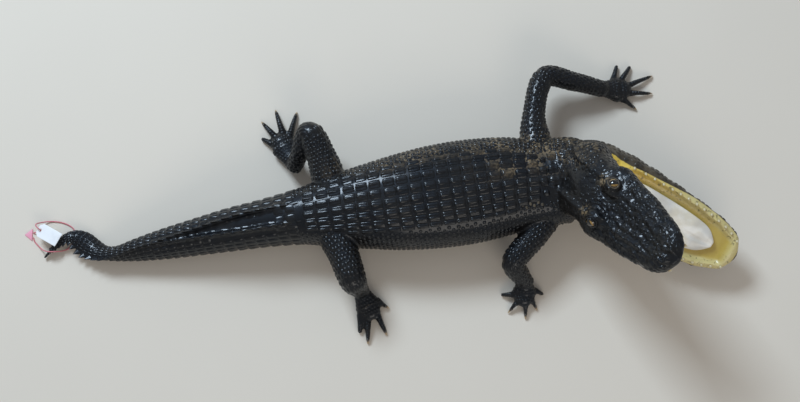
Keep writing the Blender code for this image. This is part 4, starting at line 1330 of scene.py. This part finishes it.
# %% Glass eyes and their lids
def eye_finish():
    paint = Paint("glass_eye")
    out = paint.attribute("from_gaze")
    slit = paint.attribute("slit")
    streak = paint.noise(900, 3, 0.7)
    iris = paint.mix(paint.band(streak, 0.3, 0.7), rgb(0.16, 0.075, 0.012), rgb(0.46, 0.28, 0.06))
    iris = paint.mix(paint.band(out, 0.30, 0.50), rgb(0.10, 0.040, 0.010), iris)
    iris = paint.mix(paint.band(out, 0.60, 0.78), iris, rgb(0.030, 0.016, 0.008))
    colour = paint.mix(paint.band(slit, 0.36, 0.44), rgb(0.002, 0.002, 0.002), iris)
    return paint.done(Base_Color=colour, Roughness=0.06, Coat_Weight=1.0, Coat_Roughness=0.02,
                      Normal=paint.bump(streak, 0.00002, 0.3))


eye_material = eye_finish()
lids = Coat("eyelids")
for side, name in ((1, "eye_left"), (-1, "eye_right")):
    centre = eye_at(side)
    gaze = unit(upper.y * side * 0.70 + upper.z * 0.58 + upper.x * 0.42)
    deselect()
    bpy.ops.mesh.primitive_uv_sphere_add(segments=48, ring_count=32, radius=1, location=(0, 0, 0))
    ball = bpy.context.object
    ball.name = "glass_" + name
    ways = points_of(ball)
    cornea = 1 + 0.05 * bell(np.arccos(np.clip(ways @ gaze, -1, 1)), 0.5)
    move_points(ball, place(centre + ways * (EYE_RADIUS - 0.25) * cornea[:, None]))
    across = unit(np.cross(gaze, upper.z))
    tall = np.cross(across, gaze)
    attribute(ball, "from_gaze", np.arccos(np.clip(ways @ gaze, -1, 1)))
    attribute(ball, "slit", abs(ways @ across) + 0.25 * (ways @ tall) ** 2
              + 2.0 * (ways @ gaze < 0))
    select_only(ball)
    bpy.ops.object.shade_smooth()
    ball.data.materials.append(eye_material)
    finish(ball, "eye", name)
    outward = eye_way(side)
    long_way = unit(upper.x - outward * (upper.x @ outward))
    cross_way = np.cross(outward, long_way) * side
    turns = np.linspace(0, 2 * np.pi, 65)[:-1]
    count = 12
    for lift, fat, open_by in ((0.25, 0.95, 0.84), (0.0, 1.25, 1.06), (-0.6, 1.1, 1.28)):
        ring = []
        for t in turns:
            c, s = math.cos(t), math.sin(t)
            angle = open_by * 0.95 / math.sqrt((c / 1.25) ** 2 + s * s)
            way = unit(outward * math.cos(angle) + (long_way * c + cross_way * s)
                       * math.sin(angle))
            middle = centre + way * (EYE_RADIUS + lift)
            inward = unit(outward - way * (outward @ way))
            size = fat * (1 + 0.12 * math.sin(13 * t + 5 * open_by))
            loop = 2 * np.pi * np.arange(count) / count
            ring.append(middle + np.outer(np.cos(loop) * size * 0.75, way)
                        + np.outer(np.sin(loop) * size, inward))
        ring = np.array(ring)
        index = np.arange(len(turns) * count).reshape(len(turns), count)
        after, beside = np.roll(index, -1, axis=0), np.roll(index, -1, axis=1)
        quads = np.stack([index, beside, np.roll(beside, -1, axis=0), after], -1).reshape(-1, 4)
        u, v, w, h = ISLANDS["cranium"]
        where = np.array([u + w * 0.48, v + h * (0.08 if side > 0 else 0.92)])
        uv = where + 0.0015 * np.stack(np.meshgrid(np.cos(turns), np.linspace(-1, 1, count),
                                                   indexing="ij"), -1)
        lids.add(place(ring), quads, uv, 0.3, 0.2)
lid_piece = lids.make(scale_finish)
outward_faces(lid_piece)

# %% [markdown]
# ## Teeth and tongue
# The teeth of an alligator are plain cones, set in the rim in a long even row, and each is a
# little different in height.  They are rooted with a ray dropped on the rim, so no tooth floats.

# %% Teeth
verts, faces, tips, count = [], [], [], 12
heights = np.array([-0.35, 0.0, 0.25, 0.55, 0.8, 0.96, 1.0])
turns = 2 * np.pi * np.arange(count) / count
for jaw, table, rows, point in ((lower, MANDIBLE, 14, 1), (upper, CRANIUM, 15, -1)):
    for side in (1, -1):
        for i in range(rows):
            x = 42 + (table[-1][0] - 53) * (i / (rows - 1)) ** 0.9
            inset = 5.5 + (float(np.interp(x, [40, 80, 125], [4.5, 3.0, 0.0])) if point > 0 else
                           7.0 * float(window(x, 14, 56, 12)))
            y = side * (float(column(table, x)) - inset)
            spot, _, _, _ = BVHTree.ray_cast(hide_tree, Vector(place(jaw.at(x, y, point * 30.0))),
                                             Vector(jaw.z * -point))
            if spot is None:
                continue
            rim = np.array(spot) / MM + MIDDLE
            tall = 4.6 + 1.5 * math.sin(i * 1.9)
            way = unit(jaw.z * point + jaw.y * side * 0.12)
            out = unit(jaw.y - way * (jaw.y @ way))
            along = np.cross(way, out)
            first_point = len(verts) * count
            for h in heights:
                r = 1.9 * math.sqrt(max(0.0, 1 - max(h, 0) ** 1.5)) * (1.0 if h > -0.1 else 0.9)
                r = max(r, 0.08)
                bend = 0.9 * h * h * side
                verts.append(rim + way * tall * h - out * bend + np.outer(np.cos(turns) * r, out)
                             + np.outer(np.sin(turns) * r, along))
                tips.append(np.full(count, h))
            faces += tube_faces(first_point + np.arange(len(heights) * count).reshape(-1, count))
teeth = new_mesh("teeth", place(np.concatenate(verts)), faces)
attribute(teeth, "tip", np.concatenate(tips))
outward_faces(teeth)
paint = Paint("tooth")
ivory = paint.mix(paint.noise(500, 3), rgb(0.60, 0.50, 0.27), rgb(0.72, 0.65, 0.46))
ivory = paint.mix(paint.band(paint.attribute("tip"), -0.1, 0.45), rgb(0.40, 0.28, 0.11), ivory)
paint.onto(teeth, Base_Color=ivory, Roughness=0.28, Coat_Weight=0.4,
           Normal=paint.bump(paint.noise(1500, 2), 0.00004, 0.4))
finish(teeth, "claw")
print("teeth", len(faces) // (count * (len(heights) - 1) + 2))

# %% [markdown]
# An alligator's tongue is fixed flat to the floor of the mouth, and this one is painted nearly
# white.  Sections along the jaw give its crown, one soft crease and an uneven surface.

# %% Tongue
rings = []
for x, half, tall in curve_through(TONGUE, 10):
    floor = column(MOUTH_FLOOR, x, 2)
    close = math.sqrt(max(0.02, 1 - max(0.0, (x - 150) / 25.5) ** 3))
    y, z = section(half * 0.8 * close, tall / 2, tall / 2, 2.3, 72)
    z = z + tall / 2 - floor + 0.6
    over = z > tall / 2 - floor
    crease = 1.5 * bell(y - 3 * math.sin(x / 30), 1.8) * window(x, 45, 162, 10)
    ripple = 0.35 * np.sin(x / 4.3 + y / 5) * np.sin(y / 3.9) + 0.5 * np.sin(x / 13 + y / 9)
    swell = 0.7 * bell(abs(y) - half * 0.38, half * 0.25)
    rings.append(lower.at(np.full(len(y), x), y, z + over * (swell - crease + ripple - 0.3)))
rings = np.array(rings)
faces = tube_faces(np.arange(rings[..., 0].size).reshape(rings.shape[:2]))
tongue = new_mesh("painted_tongue", place(rings.reshape(-1, 3)), faces)
outward_faces(tongue)
for end in (-1, -2):
    tongue.data.polygons[end].use_smooth = False
paint = Paint("tongue_paint")
pale = paint.mix(paint.band(paint.noise(60, 4), 0.35, 0.65), rgb(0.76, 0.70, 0.58),
                 rgb(0.90, 0.87, 0.80))
pale = paint.mix(paint.band(paint.noise(25, 2), 0.5, 0.7, 0.0, 0.5), pale, rgb(0.46, 0.44, 0.42))
paint.onto(tongue, Base_Color=pale, Roughness=0.34, Coat_Weight=0.35, Coat_Roughness=0.2,
           Normal=paint.bump(paint.noise(900, 4, 0.6), 0.00025, 0.6))
finish(tongue, "mouth", "tongue")

# %% [markdown]
# ## Claws
# Only the first three toes of an alligator's foot have claws.  A claw is a cone pressed flat at
# its sides and arched over, dark horn at the root and pale tan at the worn tip.

# %% Claws
verts, faces, tips, count = [], [], [], 16
steps = np.linspace(0, 1, 11)
turns = 2 * np.pi * np.arange(count) / count
groove = 1 - 0.10 * bell(np.minimum(abs(turns - np.pi / 6), abs(turns - 5 * np.pi / 6)), 0.25)
for k, (root, point, size) in enumerate(claw_roots):
    way = unit(point - root)
    side = unit(np.cross(UP, way))
    rise = np.cross(way, side)
    for h in steps:
        middle = root * (1 - h) + point * h + UP * (1.1 * 4 * h * (1 - h) * 0.8)
        r = size * (1 - h ** 1.35) ** 0.8 + 0.12
        ring = middle + np.outer(np.cos(turns) * r * 0.82 * groove, side) \
            + np.outer(np.sin(turns) * r, rise)
        ring[:, 2] = np.maximum(ring[:, 2], 0.0)
        verts.append(ring)
        tips.append(np.full(count, h))
    one_claw = len(steps) * count
    faces += tube_faces(k * one_claw + np.arange(one_claw).reshape(-1, count))
claws = new_mesh("claws", place(np.concatenate(verts)), faces)
outward_faces(claws)
attribute(claws, "tip", np.concatenate(tips))
paint = Paint("horn")
streaks = paint.noise(700, 3, 0.6)
horn = paint.mix(paint.band(paint.math("ADD", paint.attribute("tip"),
                                       paint.math("MULTIPLY", streaks, 0.35)), 0.42, 0.85),
                 rgb(0.022, 0.016, 0.011), rgb(0.42, 0.30, 0.17))
paint.onto(claws, Base_Color=horn, Roughness=0.32, Coat_Weight=0.4,
           Normal=paint.bump(streaks, 0.0001, 0.6))
finish(claws, "claw", *[n for n in frame["nodes"] if n.startswith("claw_")])

# %% [markdown]
# ## Floor and light
# The mount lies on a plain pale floor.  One large cool window light from the upper left makes
# the long highlights on the lacquer, and a weak warm one fills the shadows.

# %% Floor
floor = new_mesh("floor", [(-4, -4, 0), (4, -4, 0), (4, 4, 0), (-4, 4, 0)], [(0, 1, 2, 3)])
paint = Paint("pale_floor")
cloth = paint.mix(paint.noise(3, 4), rgb(0.71, 0.645, 0.56), rgb(0.755, 0.69, 0.60))
paint.onto(floor, Base_Color=cloth, Roughness=0.9,
           Normal=paint.bump(paint.noise(600, 3), 0.0002, 0.3))


# %% Light
def area_light(name, where, size, power, colour):
    light = bpy.data.lights.new(name, "AREA")
    light.shape, light.size, light.size_y = "RECTANGLE", *size
    light.energy, light.color = power, colour
    lamp = bpy.data.objects.new(name, light)
    lamp.location = where
    lamp.rotation_euler = (Vector(where) - LOOK_AT).to_track_quat("Z", "Y").to_euler()
    bpy.context.scene.collection.objects.link(lamp)


area_light("window", (-1.1, 1.7, 2.1), (1.0, 0.8), 71, (0.70, 0.85, 1.0))
area_light("room", (0.7, -2.2, 1.6), (1.6, 1.0), 15, (1.0, 0.93, 0.84))
world = bpy.data.worlds.new("room")
bpy.context.scene.world = world
world.use_nodes = True
world.node_tree.nodes["Background"].inputs["Color"].default_value = rgb(0.92, 0.95, 1.0)
world.node_tree.nodes["Background"].inputs["Strength"].default_value = 0.33
bpy.context.scene.view_settings.view_transform = "Standard"
